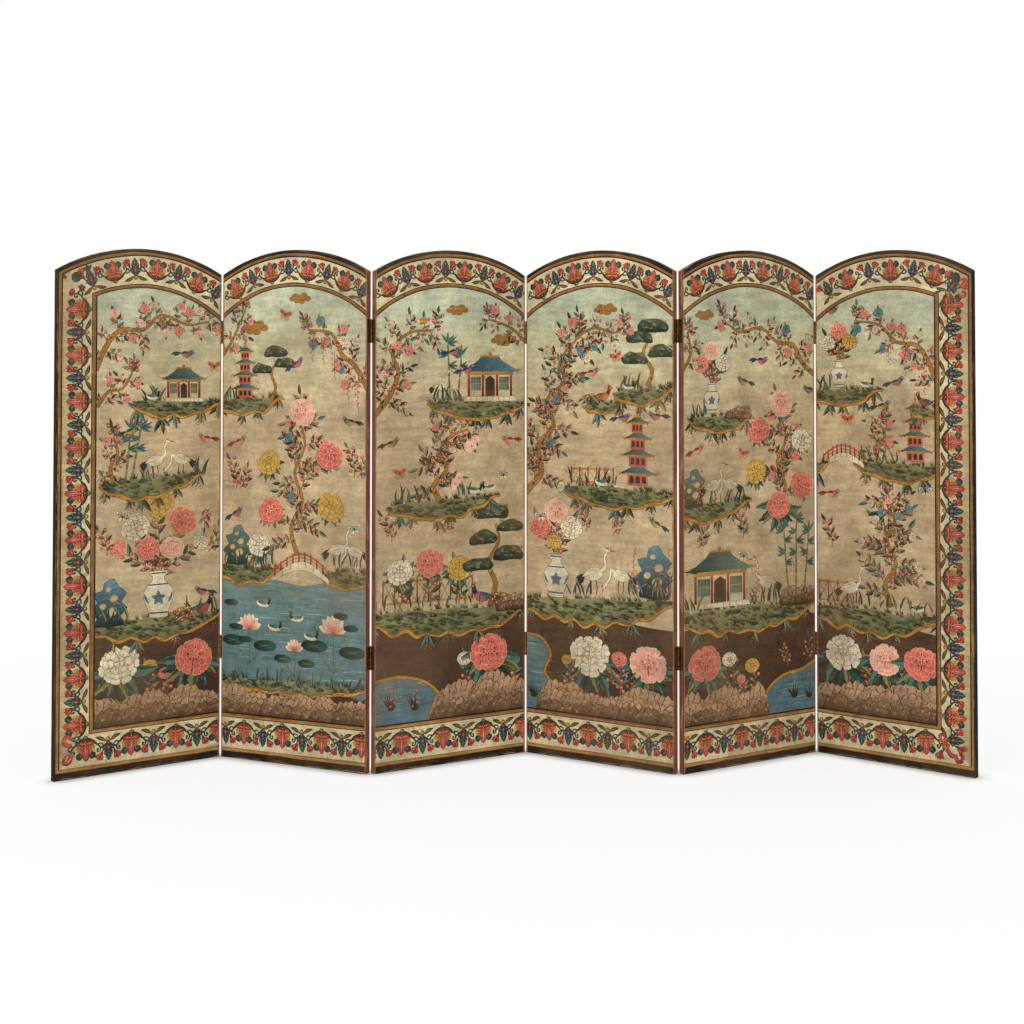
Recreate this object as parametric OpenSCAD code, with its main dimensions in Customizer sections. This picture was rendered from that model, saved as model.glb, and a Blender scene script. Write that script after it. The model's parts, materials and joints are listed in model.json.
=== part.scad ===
// Folding screen of six arched leaves, painted on canvas, standing in its zigzag.
// Millimetres, +Z up. The floor is z = 0, the painted faces look towards -Y, the two outer
// ends lie on one line along X, and the origin is the middle of the footprint's box.
// In the frame of one leaf X runs across it from its left edge, Y runs from its painted face
// to its back, and Z runs up from its foot.
// In the frame of a hinge Z is the pin's axis, with z = 0 at half the hinge's height, and Y
// points into the depth of the leaves. The plate of the leaf on the left lies on the -X side.

/* [Leaf] */
// Width of one leaf
leaf_w = 565; // [460:1:700]
// Height of a leaf's straight sides, up to the spring of the arch
side_h = 1620; // [1400:5:1900]
// Rise of the arch above its spring
arch_rise = 77; // [60:1:110]
// Depth of the wooden frame, without its canvases
frame_t = 20; // [18:0.5:30]
// Thickness of one canvas with its ground and paint
canvas_t = 1.5; // [1:0.1:2.5]
// Gap between two leaves when they stand in one line
leaf_gap = 3; // [3:0.5:6]

/* [Frame] */
// Width of a stile
stile_w = 48; // [42:1:64]
// Width of the arched rail, across its curve
arch_rail_w = 62; // [52:1:90]
// Height of the bottom rail
bottom_rail_h = 80; // [60:1:120]
// Height of the cross rail
cross_rail_h = 52; // [40:1:80]
// Height of the cross rail's middle above the floor
cross_rail_z = 860; // [700:5:1100]
// Thickness of a tenon
tenon_t = 7; // [5:0.5:9]
// Length of a tenon
tenon_l = 32; // [22:1:36]
// Wood that is cut away above and below a tenon
tenon_shoulder = 9; // [6:0.5:14]
// Wood below a tenon of the arched rail, where the rail is thick enough for less
arch_shoulder = 3; // [2:0.5:6]
// Clearance round a tenon in its mortise
tenon_play = 0.1; // [0.05:0.05:0.3]
// Space for glue beyond the end of a tenon
tenon_end_gap = 1.5; // [0.5:0.5:3]

/* [Hinges] */
// Height of one hinge
hinge_h = 76; // [60:1:100]
// Height of the lower hinge's middle above the floor
hinge_low_z = 368; // [250:1:600]
// Drop of the upper hinge's middle below the spring of the arch
hinge_top_drop = 194; // [120:1:400]
// Thickness of a hinge plate
plate_t = 2; // [1.5:0.1:3]
// Wood left between a hinge plate and the far face of the leaf
plate_margin = 3; // [2.5:0.5:6]
// Distance of the pin's axis from the face that its knuckles stand on
pin_out = 2.5; // [2.5:0.1:5]
// Radius of the pin
pin_r = 1.75; // [1.25:0.05:2]
// Knuckles on one hinge, of which the plate on the left has the odd ones
knuckle_count = 5; // [3:2:7]
// Gap between two knuckles
knuckle_gap = 0.3; // [0.2:0.05:0.6]
// Clearance of the pin in its bore
pin_play = 0.08; // [0.03:0.01:0.1]
// Clearance of a barrel in the hollow cut for it in the leaf
barrel_play = 0.4; // [0.3:0.1:0.8]
// Clearance round the edge of a plate in its recess
plate_play = 0.2; // [0.1:0.1:0.5]
// Height of the pin's riveted head
pin_head_h = 1.2; // [0.8:0.1:2]
// How much wider than the pin its riveted head is, on the radius
pin_head_lip = 1.1; // [0.6:0.1:1.6]

/* [Screws] */
// Radius of a screw's shank
screw_r = 1.6; // [1.2:0.1:2]
// Radius of a screw's countersunk head
screw_head_r = 3.4; // [2.6:0.1:3.4]
// Length of a screw with its head
screw_l = 16; // [10:1:20]
// Distance of the outer screws from the ends of a plate
screw_end = 12; // [8:0.5:18]
// Width of the slot in a screw's head
slot_w = 0.8; // [0.5:0.1:1.2]
// Depth of the slot in a screw's head
slot_d = 0.7; // [0.4:0.1:1]
// Clearance round a screw
screw_play = 0.05; // [0.02:0.01:0.2]

/* [Folds] */
// Angle between leaves 1 and 2, measured between their painted faces
fold_1 = 119.3; // [60:0.1:175]
// Angle between leaves 2 and 3, measured between their backs
fold_2 = 123.7; // [60:0.1:175]
// Angle between leaves 3 and 4, measured between their painted faces
fold_3 = 116.4; // [60:0.1:175]
// Angle between leaves 4 and 5, measured between their backs
fold_4 = 115.3; // [60:0.1:175]
// Angle between leaves 5 and 6, measured between their painted faces
fold_5 = 109.0; // [60:0.1:175]

/* [Hidden] */
leaf_count = 6;
leaves = [1 : leaf_count];
folds = [1 : leaf_count - 1];
fold_angles = [fold_1, fold_2, fold_3, fold_4, fold_5];

leaf_t = frame_t + 2 * canvas_t;
full_h = side_h + arch_rise;
arch_r = (leaf_w * leaf_w / 4 + arch_rise * arch_rise) / (2 * arch_rise);
arch_centre_z = full_h - arch_r;

knuckle_r = leaf_gap / 2 + plate_t;
knuckle_pitch = hinge_h / knuckle_count;
plate_w = leaf_t - plate_margin;
screw_y = pin_out + plate_w / 2;
screw_head_h = screw_head_r - screw_r;
hinge_heights = [hinge_low_z, side_h - hinge_top_drop];
screw_heights = [screw_end - hinge_h / 2, 0, hinge_h / 2 - screw_end];

tenon_root = 4;
tenon_spans = [
    [tenon_shoulder, bottom_rail_h - tenon_shoulder],
    [cross_rail_z - cross_rail_h / 2 + tenon_shoulder, cross_rail_z + cross_rail_h / 2 - tenon_shoulder],
    [arch_z(stile_w + tenon_root, arch_r - arch_rail_w) + arch_shoulder,
     arch_z(stile_w - tenon_l, arch_r) - tenon_shoulder]
];
bottom_span = tenon_spans[0];
cross_span = tenon_spans[1];
arch_span = tenon_spans[2];

left_edge = 0;
right_edge = 1;
cut = 1;
wood_colour = [0.50, 0.36, 0.25];
paint_colour = [0.70, 0.66, 0.52];
backing_colour = [0.30, 0.24, 0.19];
brass_colour = [0.36, 0.27, 0.13];

leaf_pieces = [
    "left_stile", "right_stile", "arched_rail", "cross_rail", "bottom_rail",
    "front_canvas", "back_canvas"
];
fold_pieces = ["left_plates", "right_plates", "pins"];

function leaf_node(n, piece) = str("leaf_", n, "_", piece);
function fold_node(f, piece) = str("fold_", f, "_", f + 1, "_", piece);

// Height at x of an arc about the arch's centre
function arch_z(x, r) = arch_centre_z + sqrt(r * r - pow(x - leaf_w / 2, 2));

// Odd folds carry their knuckles on the painted side, even folds on the back
function knuckles_in_front(f) = f % 2 == 1;
function pin_y(f) = knuckles_in_front(f) ? -pin_out : leaf_t + pin_out;
function pin_x(edge) = edge == right_edge ? leaf_w + leaf_gap / 2 : -leaf_gap / 2;
function fold_at(n, edge) = edge == right_edge ? n : n - 1;
function is_fold(f) = f >= 1 && f < leaf_count;

// The plan of the zigzag, first with leaf 1 along X from the origin, then turned and centred
function turned(angle, p) = [p.x * cos(angle) - p.y * sin(angle), p.x * sin(angle) + p.y * cos(angle)];
function fold_turn(f) = (180 - fold_angles[f - 1]) * (knuckles_in_front(f) ? -1 : 1);
function raw_heading(n) = n == 1 ? 0 : raw_heading(n - 1) + fold_turn(n - 1);
function raw_start(n) =
    n == 1 ? [0, 0] : raw_pin(n - 1) - turned(raw_heading(n), [pin_x(left_edge), pin_y(n - 1)]);
function raw_pin(f) = raw_start(f) + turned(raw_heading(f), [pin_x(right_edge), pin_y(f)]);

raw_end = raw_start(leaf_count) + turned(raw_heading(leaf_count), [leaf_w, 0]);
plan_turn = -atan2(raw_end.y, raw_end.x);
corners = [
    for (n = leaves, x = [0, leaf_w], y = [0, leaf_t])
        turned(plan_turn, raw_start(n) + turned(raw_heading(n), [x, y]))
];
xs = [for (p = corners) p.x];
ys = [for (p = corners) p.y];
plan_middle = [(min(xs) + max(xs)) / 2, (min(ys) + max(ys)) / 2];

function heading(n) = raw_heading(n) + plan_turn;
function leaf_start(n) = turned(plan_turn, raw_start(n)) - plan_middle;
function pin_at(f) = turned(plan_turn, raw_pin(f)) - plan_middle;

module at_leaf(n) {
    translate(leaf_start(n)) rotate(heading(n)) children();
}

module flipped(across, on) {
    if (on) mirror(across) children();
    else children();
}

// What is drawn at a leaf's left edge, there or at its right edge
module at_edge(edge) {
    translate([edge == right_edge ? leaf_w : 0, 0, 0])
        flipped([1, 0, 0], edge == right_edge) children();
}

// What is drawn in the hinge's frame for the leaf on its left, in the frame of a leaf
module at_hinges(f, edge) {
    for (z = hinge_heights)
        translate([pin_x(edge), pin_y(f), z])
            flipped([0, 1, 0], !knuckles_in_front(f))
                flipped([1, 0, 0], edge == left_edge) children();
}

// A flat shape drawn in X and Z, stood up from y to y + depth
module upright(y, depth) {
    translate([0, y + depth, 0]) rotate([90, 0, 0]) linear_extrude(depth) children();
}

module leaf_outline() {
    square([leaf_w, side_h]);
    intersection() {
        translate([leaf_w / 2, arch_centre_z]) circle(r = arch_r, $fn = 180);
        translate([0, side_h - cut]) square([leaf_w, arch_rise + cut]);
    }
}

module arch_band() {
    intersection() {
        translate([leaf_w / 2, arch_centre_z]) difference() {
            circle(r = arch_r, $fn = 180);
            circle(r = arch_r - arch_rail_w, $fn = 180);
        }
        translate([stile_w, arch_centre_z]) square([leaf_w - 2 * stile_w, arch_r]);
    }
}

// One tenon at the left end of a rail, rooted in the rail
module tenon(span) {
    translate([stile_w - tenon_l, (leaf_t - tenon_t) / 2, span[0]])
        cube([tenon_l + tenon_root, tenon_t, span[1] - span[0]]);
}

module mortise(span) {
    depth = tenon_l + tenon_end_gap;
    translate([stile_w - depth, (leaf_t - tenon_t) / 2 - tenon_play, span[0] - tenon_play])
        cube([depth + cut, tenon_t + 2 * tenon_play, span[1] - span[0] + 2 * tenon_play]);
}

module both_tenons(span) {
    for (edge = [left_edge, right_edge]) at_edge(edge) tenon(span);
}

module screw_shape(play) {
    translate([-leaf_gap / 2, screw_y, 0]) rotate([0, -90, 0]) {
        cylinder(r1 = screw_head_r + play, r2 = screw_r + play, h = screw_head_h, $fn = 32);
        cylinder(r = screw_r + play, h = screw_l + play, $fn = 24);
    }
}

// The hollow that one hinge needs in a leaf: its plate, its barrel and its screws
module hinge_hollow() {
    height = hinge_h + 2 * plate_play;
    barrel_h = hinge_h + 2 * (pin_head_h + barrel_play);
    translate([-knuckle_r, pin_out - cut, -height / 2])
        cube([plate_t + cut, cut + plate_w + plate_play, height]);
    translate([0, 0, -barrel_h / 2])
        cylinder(r = knuckle_r + barrel_play, h = barrel_h, $fn = 48);
    for (z = screw_heights) translate([0, 0, z]) screw_shape(screw_play);
}

module edge_hollows(n, edge) {
    f = fold_at(n, edge);
    if (is_fold(f)) at_hinges(f, edge) hinge_hollow();
}

module stile(n, edge) {
    color(wood_colour) difference() {
        at_edge(edge) difference() {
            upright(canvas_t, frame_t) intersection() {
                leaf_outline();
                square([stile_w, full_h]);
            }
            for (span = tenon_spans) mortise(span);
        }
        edge_hollows(n, edge);
    }
}

module left_stile(n) stile(n, left_edge);
module right_stile(n) stile(n, right_edge);

module arched_rail() {
    color(wood_colour) {
        upright(canvas_t, frame_t) arch_band();
        both_tenons(arch_span);
    }
}

module straight_rail(z, height, span) {
    color(wood_colour) {
        translate([stile_w, canvas_t, z]) cube([leaf_w - 2 * stile_w, frame_t, height]);
        both_tenons(span);
    }
}

module cross_rail() straight_rail(cross_rail_z - cross_rail_h / 2, cross_rail_h, cross_span);
module bottom_rail() straight_rail(0, bottom_rail_h, bottom_span);

module canvas(n, y) {
    difference() {
        upright(y, canvas_t) leaf_outline();
        for (edge = [left_edge, right_edge]) edge_hollows(n, edge);
    }
}

module front_canvas(n) color(paint_colour) canvas(n, 0);
module back_canvas(n) color(backing_colour) canvas(n, canvas_t + frame_t);

// One hinge leaf with its own knuckles, numbered from 0 at the bottom, and its screws
module hinge_plate(own, others) {
    difference() {
        union() {
            translate([-knuckle_r, pin_out, -hinge_h / 2]) cube([plate_t, plate_w, hinge_h]);
            for (k = own) knuckle_level(k, -knuckle_gap / 2) {
                cylinder(r = knuckle_r, h = knuckle_height(-knuckle_gap / 2), $fn = 48);
                translate([-knuckle_r, 0, 0])
                    cube([plate_t, pin_out + cut, knuckle_height(-knuckle_gap / 2)]);
            }
        }
        for (k = others) knuckle_level(k, knuckle_gap / 2)
            cylinder(r = knuckle_r + knuckle_gap, h = knuckle_height(knuckle_gap / 2), $fn = 48);
        translate([0, 0, -hinge_h / 2 - cut])
            cylinder(r = pin_r + pin_play, h = hinge_h + 2 * cut, $fn = 32);
        for (z = screw_heights) translate([0, 0, z]) screw_shape(screw_play);
    }
    for (z = screw_heights) translate([0, 0, z]) screw();
}

// Knuckles and the notches for them are a little lower or higher than one share of the hinge
function knuckle_height(extra) = knuckle_pitch + 2 * extra;

module knuckle_level(k, extra) {
    translate([0, 0, k * knuckle_pitch - hinge_h / 2 - extra]) children();
}

module screw() {
    difference() {
        screw_shape(0);
        translate([-leaf_gap / 2 - slot_d, screw_y - slot_w / 2, -screw_head_r])
            cube([slot_d + cut, slot_w, 2 * screw_head_r]);
    }
}

module left_plates(f) {
    color(brass_colour) at_hinges(f, right_edge)
        hinge_plate([0 : 2 : knuckle_count - 1], [1 : 2 : knuckle_count - 1]);
}

module right_plates(f) {
    color(brass_colour) at_hinges(f, left_edge)
        hinge_plate([1 : 2 : knuckle_count - 1], [0 : 2 : knuckle_count - 1]);
}

module pins(f) {
    color(brass_colour) at_hinges(f, right_edge) {
        translate([0, 0, -hinge_h / 2]) cylinder(r = pin_r, h = hinge_h, $fn = 32);
        for (end = [0, 1]) flipped([0, 0, 1], end == 1)
            translate([0, 0, hinge_h / 2])
                cylinder(r1 = pin_r + pin_head_lip, r2 = pin_r, h = pin_head_h, $fn = 32);
    }
}

for (n = leaves) at_leaf(n) {
    left_stile(n);
    right_stile(n);
    arched_rail();
    cross_rail();
    bottom_rail();
    front_canvas(n);
    back_canvas(n);
}
for (f = folds) {
    at_leaf(f) left_plates(f);
    at_leaf(f + 1) right_plates(f);
    at_leaf(f) pins(f);
}
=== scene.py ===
import json
import math
import random

import bpy
import numpy as np
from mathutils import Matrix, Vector
from mathutils.geometry import delaunay_2d_cdt

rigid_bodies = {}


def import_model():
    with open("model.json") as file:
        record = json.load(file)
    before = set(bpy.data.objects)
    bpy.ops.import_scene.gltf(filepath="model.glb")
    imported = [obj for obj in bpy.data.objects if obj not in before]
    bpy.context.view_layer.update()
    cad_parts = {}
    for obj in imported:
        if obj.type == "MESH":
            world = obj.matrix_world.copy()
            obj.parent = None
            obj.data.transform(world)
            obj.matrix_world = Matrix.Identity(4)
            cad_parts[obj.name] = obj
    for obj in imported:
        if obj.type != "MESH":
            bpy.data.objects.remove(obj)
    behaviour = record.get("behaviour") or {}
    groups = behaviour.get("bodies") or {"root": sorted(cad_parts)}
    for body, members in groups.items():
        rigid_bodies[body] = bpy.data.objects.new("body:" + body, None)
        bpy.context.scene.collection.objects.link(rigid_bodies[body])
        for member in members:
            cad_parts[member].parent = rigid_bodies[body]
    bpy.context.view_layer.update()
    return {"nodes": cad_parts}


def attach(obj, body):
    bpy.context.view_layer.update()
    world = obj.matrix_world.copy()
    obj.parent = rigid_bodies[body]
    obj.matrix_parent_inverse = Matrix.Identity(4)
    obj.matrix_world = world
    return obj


for thing in list(bpy.data.objects):
    bpy.data.objects.remove(thing)

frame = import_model()
leafCount = 6
mm = 0.001
print("frame loaded:", len(frame["nodes"]), "nodes")


# Where each leaf stands: its foot corner on the left of the painted face, and its directions

def cornersOf(node):
    return np.array([v.co for v in frame["nodes"][node].data.vertices])


def readLeaf(n):
    front, back = cornersOf(f"leaf_{n}_front_canvas"), cornersOf(f"leaf_{n}_back_canvas")
    outward = (front.min(0) + front.max(0) - back.min(0) - back.max(0)) / 2
    outward[2] = 0
    outward /= np.linalg.norm(outward)
    across = np.cross(-outward, (0, 0, 1))
    feet = front[front[:, 2] < mm]
    feet = feet[feet @ outward > (feet @ outward).max() - 0.1 * mm]
    start = feet[np.argmin(feet @ across)]
    return {"start": start, "across": across, "outward": outward, "points": front,
            "thick": float(((start - back) @ outward).max()) / mm}


leaves = {n: readLeaf(n) for n in range(1, leafCount + 1)}
# the sizes of a leaf in millimetres, read from the first one
firstReach = (leaves[1]["points"] - leaves[1]["start"]) @ leaves[1]["across"]
leafWide = float(firstReach.max()) / mm
fullHigh = float(leaves[1]["points"][:, 2].max()) / mm
sideHigh = float(leaves[1]["points"][firstReach < mm][:, 2].max()) / mm
archRise = fullHigh - sideHigh
archRadius = (leafWide ** 2 / 4 + archRise ** 2) / (2 * archRise)
archMiddle = fullHigh - archRadius
print("leaf", round(leafWide), "wide,", round(sideHigh), "to the spring,", round(fullHigh), "in all,",
      round(leaves[1]["thick"], 1), "thick")


palette = {
    "black": "1D1915", "ochre": "A57746", "ochreDeep": "8A6239", "darkOchre": "68482A", "line": "241A13",
    "cream": "D0C5A3", "creamDeep": "B5A27A", "sky": "B8BFA7", "skyMid": "BDB998", "skyLow": "C2B391",
    "tan": "BCA887", "tanDeep": "B09A76", "red": "B2463A", "redDeep": "6E1D1B", "salmon": "CE6C5B",
    "pink": "E6A896", "teal": "345349", "tealLight": "5C8077", "tealDark": "1E2E28", "blue": "27506A",
    "blueLight": "5B8797", "blueDark": "15232C", "olive": "56562F", "oliveLight": "8A8C5C",
    "oliveDark": "2A2B18", "grass": "66653F", "grassLight": "8C8A64", "grassDark": "2F301B",
    "moss": "4E5A42", "rim": "A87436", "rimDark": "6E451F", "white": "DFD5BA", "whiteDeep": "BFB090",
    "yellow": "C4A252", "gold": "BB8A3E", "ground": "523D2D", "groundDeep": "402E23", "rock": "84684C",
    "rockPink": "B29071", "rockDark": "4C3828", "water": "66807F", "waterDeep": "54707A",
    "waterLight": "8EA39D", "waterDark": "3A5860", "bark": "8F6935", "barkDark": "402C1A",
    "ink": "271E18", "worn": "96643F",
}


def smooth(fours, per):
    # a curve through the points, each stretch set by the four points round it
    t = np.linspace(0, 1, per, endpoint=False)[:, None]
    return np.concatenate([((2 * b) + (c - a) * t + (2 * a - 5 * b + 4 * c - d) * t * t
                            + (3 * b - a - 3 * c + d) * t ** 3) / 2 for a, b, c, d in fours])


def loop(points, per=3):
    p = np.asarray(points, float)
    return smooth(zip(np.roll(p, 1, 0), p, np.roll(p, -1, 0), np.roll(p, -2, 0)), per)


def curve(points, per=4):
    p = np.asarray(points, float)
    p = np.concatenate([[2 * p[0] - p[1]], p, [2 * p[-1] - p[-2]]])
    return np.concatenate([smooth(zip(p, p[1:], p[2:], p[3:]), per), p[-2:-1]])


def bowed(length, bend, t):
    # the place at share t of a stem that leans out by bend at its middle
    return bend * 4 * t * (1 - t), t * length


def blade(length, width, bend=0.0, fat=0.45, side=0):
    # a pointed leaf, widest at the share fat of its length, or one half of it
    t = np.linspace(0, 1, 7)
    middle = np.stack(bowed(length, bend, t), 1)
    half = width / 2 * np.sin(np.pi * t ** (math.log(0.5) / math.log(fat)))
    half[-1] = 0
    off = np.stack([half, 0 * half], 1)
    right = middle + off * (side >= 0)
    left = middle - off * (side <= 0)
    return np.concatenate([right, left[-2:0:-1]])


def disc(x, z, wide, high=None, count=9, angle=0.0):
    a = np.linspace(0, 2 * np.pi, count, endpoint=False) - 2.2
    u, v = wide * np.cos(a), (high or wide) * np.sin(a)
    c, s = math.cos(math.radians(angle)), math.sin(math.radians(angle))
    return np.stack([x + u * c - v * s, z + u * s + v * c], 1)


def ribbon(points, widths):
    p = np.asarray(points, float)
    w = np.interp(np.linspace(0, 1, len(p)), np.linspace(0, 1, len(widths)), widths)[:, None] / 2
    d = np.gradient(p, axis=0)
    d /= np.maximum(np.linalg.norm(d, axis=1, keepdims=True), 1e-9)
    n = np.stack([d[:, 1], -d[:, 0]], 1)
    return np.concatenate([p + n * w, (p - n * w)[::-1]])


def area(points):
    x, z = points.T
    return float(np.sum(x * np.roll(z, -1) - np.roll(x, -1) * z)) / 2


def widened(points, width):
    d = np.roll(points, -1, 0) - np.roll(points, 1, 0)
    d /= np.maximum(np.linalg.norm(d, axis=1, keepdims=True), 1e-9)
    return points + np.stack([d[:, 1], -d[:, 0]], 1) * width


class Sheet:
    def __init__(self, seed):
        self.shapes = []
        self.chance = random.Random(seed)

    def add(self, points, colour, other, rim, width, run):
        # a shape is its outline, its two colours and the line along which one turns into the other
        if run is None:
            run = points[0], points[int(np.argmax(np.sum((points - points[0]) ** 2, 1)))]
        if area(points) < 0:
            points = points[::-1]
        if rim:
            self.shapes.append((widened(points, width), rim, rim, *run))
        self.shapes.append((points, colour, other or colour, *run))


class Brush:
    def __init__(self, sheet, origin=(0, 0), turn=((1, 0), (0, 1))):
        self.sheet, self.origin, self.turn = sheet, np.array(origin, float), np.array(turn, float)

    def at(self, x, z, angle=0.0, size=1.0, flip=1):
        # a brush moved, turned to the left, scaled and mirrored in the frame of this one
        c, s = math.cos(math.radians(angle)), math.sin(math.radians(angle))
        turn = np.array([[c * flip, -s], [s * flip, c]]) * size
        return Brush(self.sheet, self.origin + self.turn @ np.array([x, z], float), self.turn @ turn)

    def pair(self):
        # the brush's mirror image and the brush itself
        return [self.at(0, 0, flip=s) for s in (-1, 1)]

    def onSheet(self, points):
        return self.origin + np.asarray(points, float) @ self.turn.T

    def fill(self, points, colour, other=None, rim=None, width=1.4, run=None):
        if run is not None:
            run = self.onSheet(run)
        self.sheet.add(self.onSheet(points), colour, other, rim, width, run)

    def rounded(self, points, *colours, **more):
        self.fill(loop(points, 2), *colours, **more)

    def bar(self, x0, z0, x1, z1, *colours, **more):
        self.fill([(x0, z0), (x1, z0), (x1, z1), (x0, z1)], *colours, **more)

    def stroke(self, points, widths, colour, other=None, rim=None, width=1.0, per=3):
        # laid in short pieces, because one long ribbon that bends back would cross itself
        path = curve(points, per)
        parts, step = [], 8
        for i in range(0, len(path) - 1, step):
            part = path[i:i + step + 1]
            share = np.linspace(i, i + len(part) - 1, len(part)) / (len(path) - 1)
            parts.append((part, np.interp(share, np.linspace(0, 1, len(widths)), widths)))
        if rim:
            for part, w in parts:
                self.fill(ribbon(part, w + 2 * width), rim)
        for part, w in parts:
            self.fill(ribbon(part, w), colour, other)


def twoTone(brush, length, width, light, dark, rim="ink", bend=0.0, fat=0.42, side=-1):
    # a leaf with one half in shade
    brush.fill(blade(length, width, bend, fat), light, rim=rim, width=1.1)
    brush.fill(blade(length * 0.98, width * 0.96, bend, fat, side), dark)


def dash(brush, x, z, length, width, bend, colour):
    # a blade laid flat, with its tip to the left
    brush.fill(blade(length, width, bend) @ [[0, 1], [-1, 0]] + [x, z], colour)


# Border motifs, drawn with up as outwards


def palmette(brush):
    # a red head with a flame, held in an arc whose ends curl
    for b in brush.pair():
        b.stroke([(30, -19), (43, -10), (49, 2), (45, 11), (38, 9), (39, 2)], [4.5, 4, 3.6, 3.2, 2.8, 2.4],
                 "teal", "tealDark", "ink", 0.8)
        b.stroke([(41, -13), (52, -15), (59, -8), (55, -2)], [3.6, 3.2, 2.6, 2.4],
                 "tealDark", "teal", "ink", 0.8)
        b.fill(disc(40, 3, 3.6, 3.4), "teal", "tealDark", "ink", 0.7)
        b.fill(disc(54, -2, 3.4, 3.2), "tealDark", "teal", "ink", 0.7)
    brush.stroke([(-38, -13), (-28, -24), (-14, -31), (0, -34), (14, -31), (28, -24), (38, -13)],
                 [4, 6.5, 8.5, 9, 8.5, 6.5, 4], "tealDark", "oliveDark", "ink", 0.9)
    shine = [(-34, -18), (-17, -29), (0, -32.5), (17, -29), (34, -18)]
    brush.stroke(shine, [0.8, 1.8, 2.4, 1.8, 0.8], "teal")
    brush.fill(disc(0, -40, 7.5, 4.6), "rimDark", "oliveLight", "ink", 1.1)
    for b in brush.pair():
        leaf = [(11, 16), (15, 10), (22, 9), (29, 12), (32, 19), (29, 26), (22, 31), (15, 28), (10, 22)]
        b.rounded(leaf, "teal", "tealDark", "ink", 1.2)
        b.at(14, 14, -50).fill(blade(13, 3.0, -1), "tealLight")
        b.rounded([(2, -27), (12, -28), (22, -24), (28, -16), (22, -9), (10, -10), (3, -15)],
                  "redDeep", "red", "redDeep", 1.4)
        b.fill(disc(15, -20, 8, 4.0, angle=-14), "salmon", "red")
        b.rounded([(8, -11), (17, -12), (26, -12), (30, -4), (26, 4), (19, 5), (16, -2), (10, -3)],
                  "bark", "yellow", "redDeep", 1.5)
        b.stroke([(26, -9), (22, -3), (17, -6), (19, -10)], [1.6, 2.2, 1.4], "redDeep")
        b.rounded([(3, -4), (12, -4), (19, 3), (17, 11), (9, 13), (3, 8)], "red", "salmon", "redDeep", 1.4)
        b.stroke([(5, 1), (11, 2), (14, 7)], [1.4, 2.0, 1.2], "redDeep")
    flame = [(0, 38), (4, 34), (9, 29), (8, 21), (9, 12), (7, 2), (3, -10), (0, -20), (-3, -10), (-7, 2),
             (-9, 12), (-8, 21), (-9, 29), (-4, 34)]
    brush.rounded(flame, "red", "salmon", "redDeep", 1.5)
    for lean in (-9, 0, 9):
        brush.at(lean * 0.3, -8, -lean).fill(blade(40 - abs(lean), 2.6), "pink", "salmon")
    for b in brush.pair():
        b.stroke([(2, -6), (4.5, 8), (4, 26)], [0.7, 1.5, 0.8], "redDeep")
        b.stroke([(1, -15), (7, -11), (6, -4), (1, -2)], [1.2, 2.4, 1.2], "redDeep")
        b.fill(disc(4.5, -19, 2.4, 2), "yellow")
    for z in (-10, 0):
        brush.stroke([(-5, z + 5), (0, z), (5, z + 5)], [1.0, 1.8, 1.0], "redDeep", per=1)


def trumpet(b):
    b.rounded([(-3, -15), (3, -15), (6, -6), (14, 4), (16, 15), (8, 12), (4, 19), (0, 12), (-5, 18),
               (-8, 10), (-15, 10), (-12, 0), (-6, -6)], "redDeep", "red", "redDeep", 1.5)
    b.at(2, -8, -18).fill(blade(19, 5.0, 1), "salmon")
    b.at(-3, -5, 28).fill(blade(13, 3.8, -1), "salmon")


def borderFlower(brush, blue=True):
    for b in brush.pair():
        b.at(6, -18, -116).fill(blade(40, 11, 3, 0.5), "olive", "oliveDark", "ink", 1.0)
        b.at(8, -19, -116).fill(blade(32, 2.4, 3, 0.5), "bark")
    brush.fill(disc(0, -24, 6.8, 7.8), "rimDark", "gold", "rimDark", 1.2)
    brush.fill(disc(0.5, -25, 3, 3.8), "yellow")
    for s in (-1, 1):
        trumpet(brush.at(s * 27, 25, -s * 34, 0.84, s))
        stalk = brush.at(0, 0, flip=s)
        stalk.stroke([(13, 4), (18, 8), (21, 14)], [3.6, 3.2, 3.4], "teal", rim="ink", width=0.7)
    for angle, length in ((52, 16), (-52, 16), (0, 29)):
        b = brush.at(0, 13, angle)
        belly, neck = length * 0.55, length * 0.8
        b.rounded([(0, 0), (6, 7), (9, belly), (4.5, neck), (0, length), (-4.5, neck), (-9, belly), (-6, 7)],
                  "tealDark", "teal", "ink", 1.2)
        b.at(0, 4).fill(blade(length * 0.75, 3.4), "tealLight")
    main, edge = ("blue", "blueLight") if blue else ("teal", "tealLight")
    for angle in (45, 135, 225, 315):
        brush.at(0, 0, angle).fill(blade(16, 12, 0, 0.6), "blueDark", main, "ink", 1.0)
    for angle in (90, 270, 180, 0):
        b = brush.at(0, 0, angle)
        b.rounded([(0, 0), (7, 6), (8.5, 12), (4, 17), (0, 20), (-4, 17), (-8.5, 12), (-7, 6)],
                  "blueDark", main, "ink", 1.2)
        b.fill(blade(9, 7, 0, 0.6) + [0, 8.5], edge, main)
    brush.fill(disc(0, 0, 5.8, 8.4), "redDeep", "red", "ink", 1.2)
    brush.fill(disc(-0.8, 1, 2.0, 3.8), "salmon")


def hookBud(brush):
    brush.stroke([(12, -14), (2, -18), (-10, -10), (-12, 4), (-2, 12), (8, 8), (8, -1)],
                 [7, 11, 13, 13, 12, 10, 7], "red", rim="redDeep", width=0.9)
    brush.stroke([(8, -14), (0, -15), (-8, -8), (-9, 3), (-1, 9)], [1.5, 3.5, 4, 3.5, 1.5], "salmon")


def eggBud(brush):
    brush.rounded([(0, -20), (13, -12), (16, 3), (8, 17), (0, 24), (-9, 16), (-16, 2), (-12, -12)],
                  "redDeep", "salmon", "redDeep", 1)
    for s in (-1, 0, 1):
        brush.at(s * 3, -14, -s * 14).fill(blade(29, 3, -s * 2), "pink" if s else "red")


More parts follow.
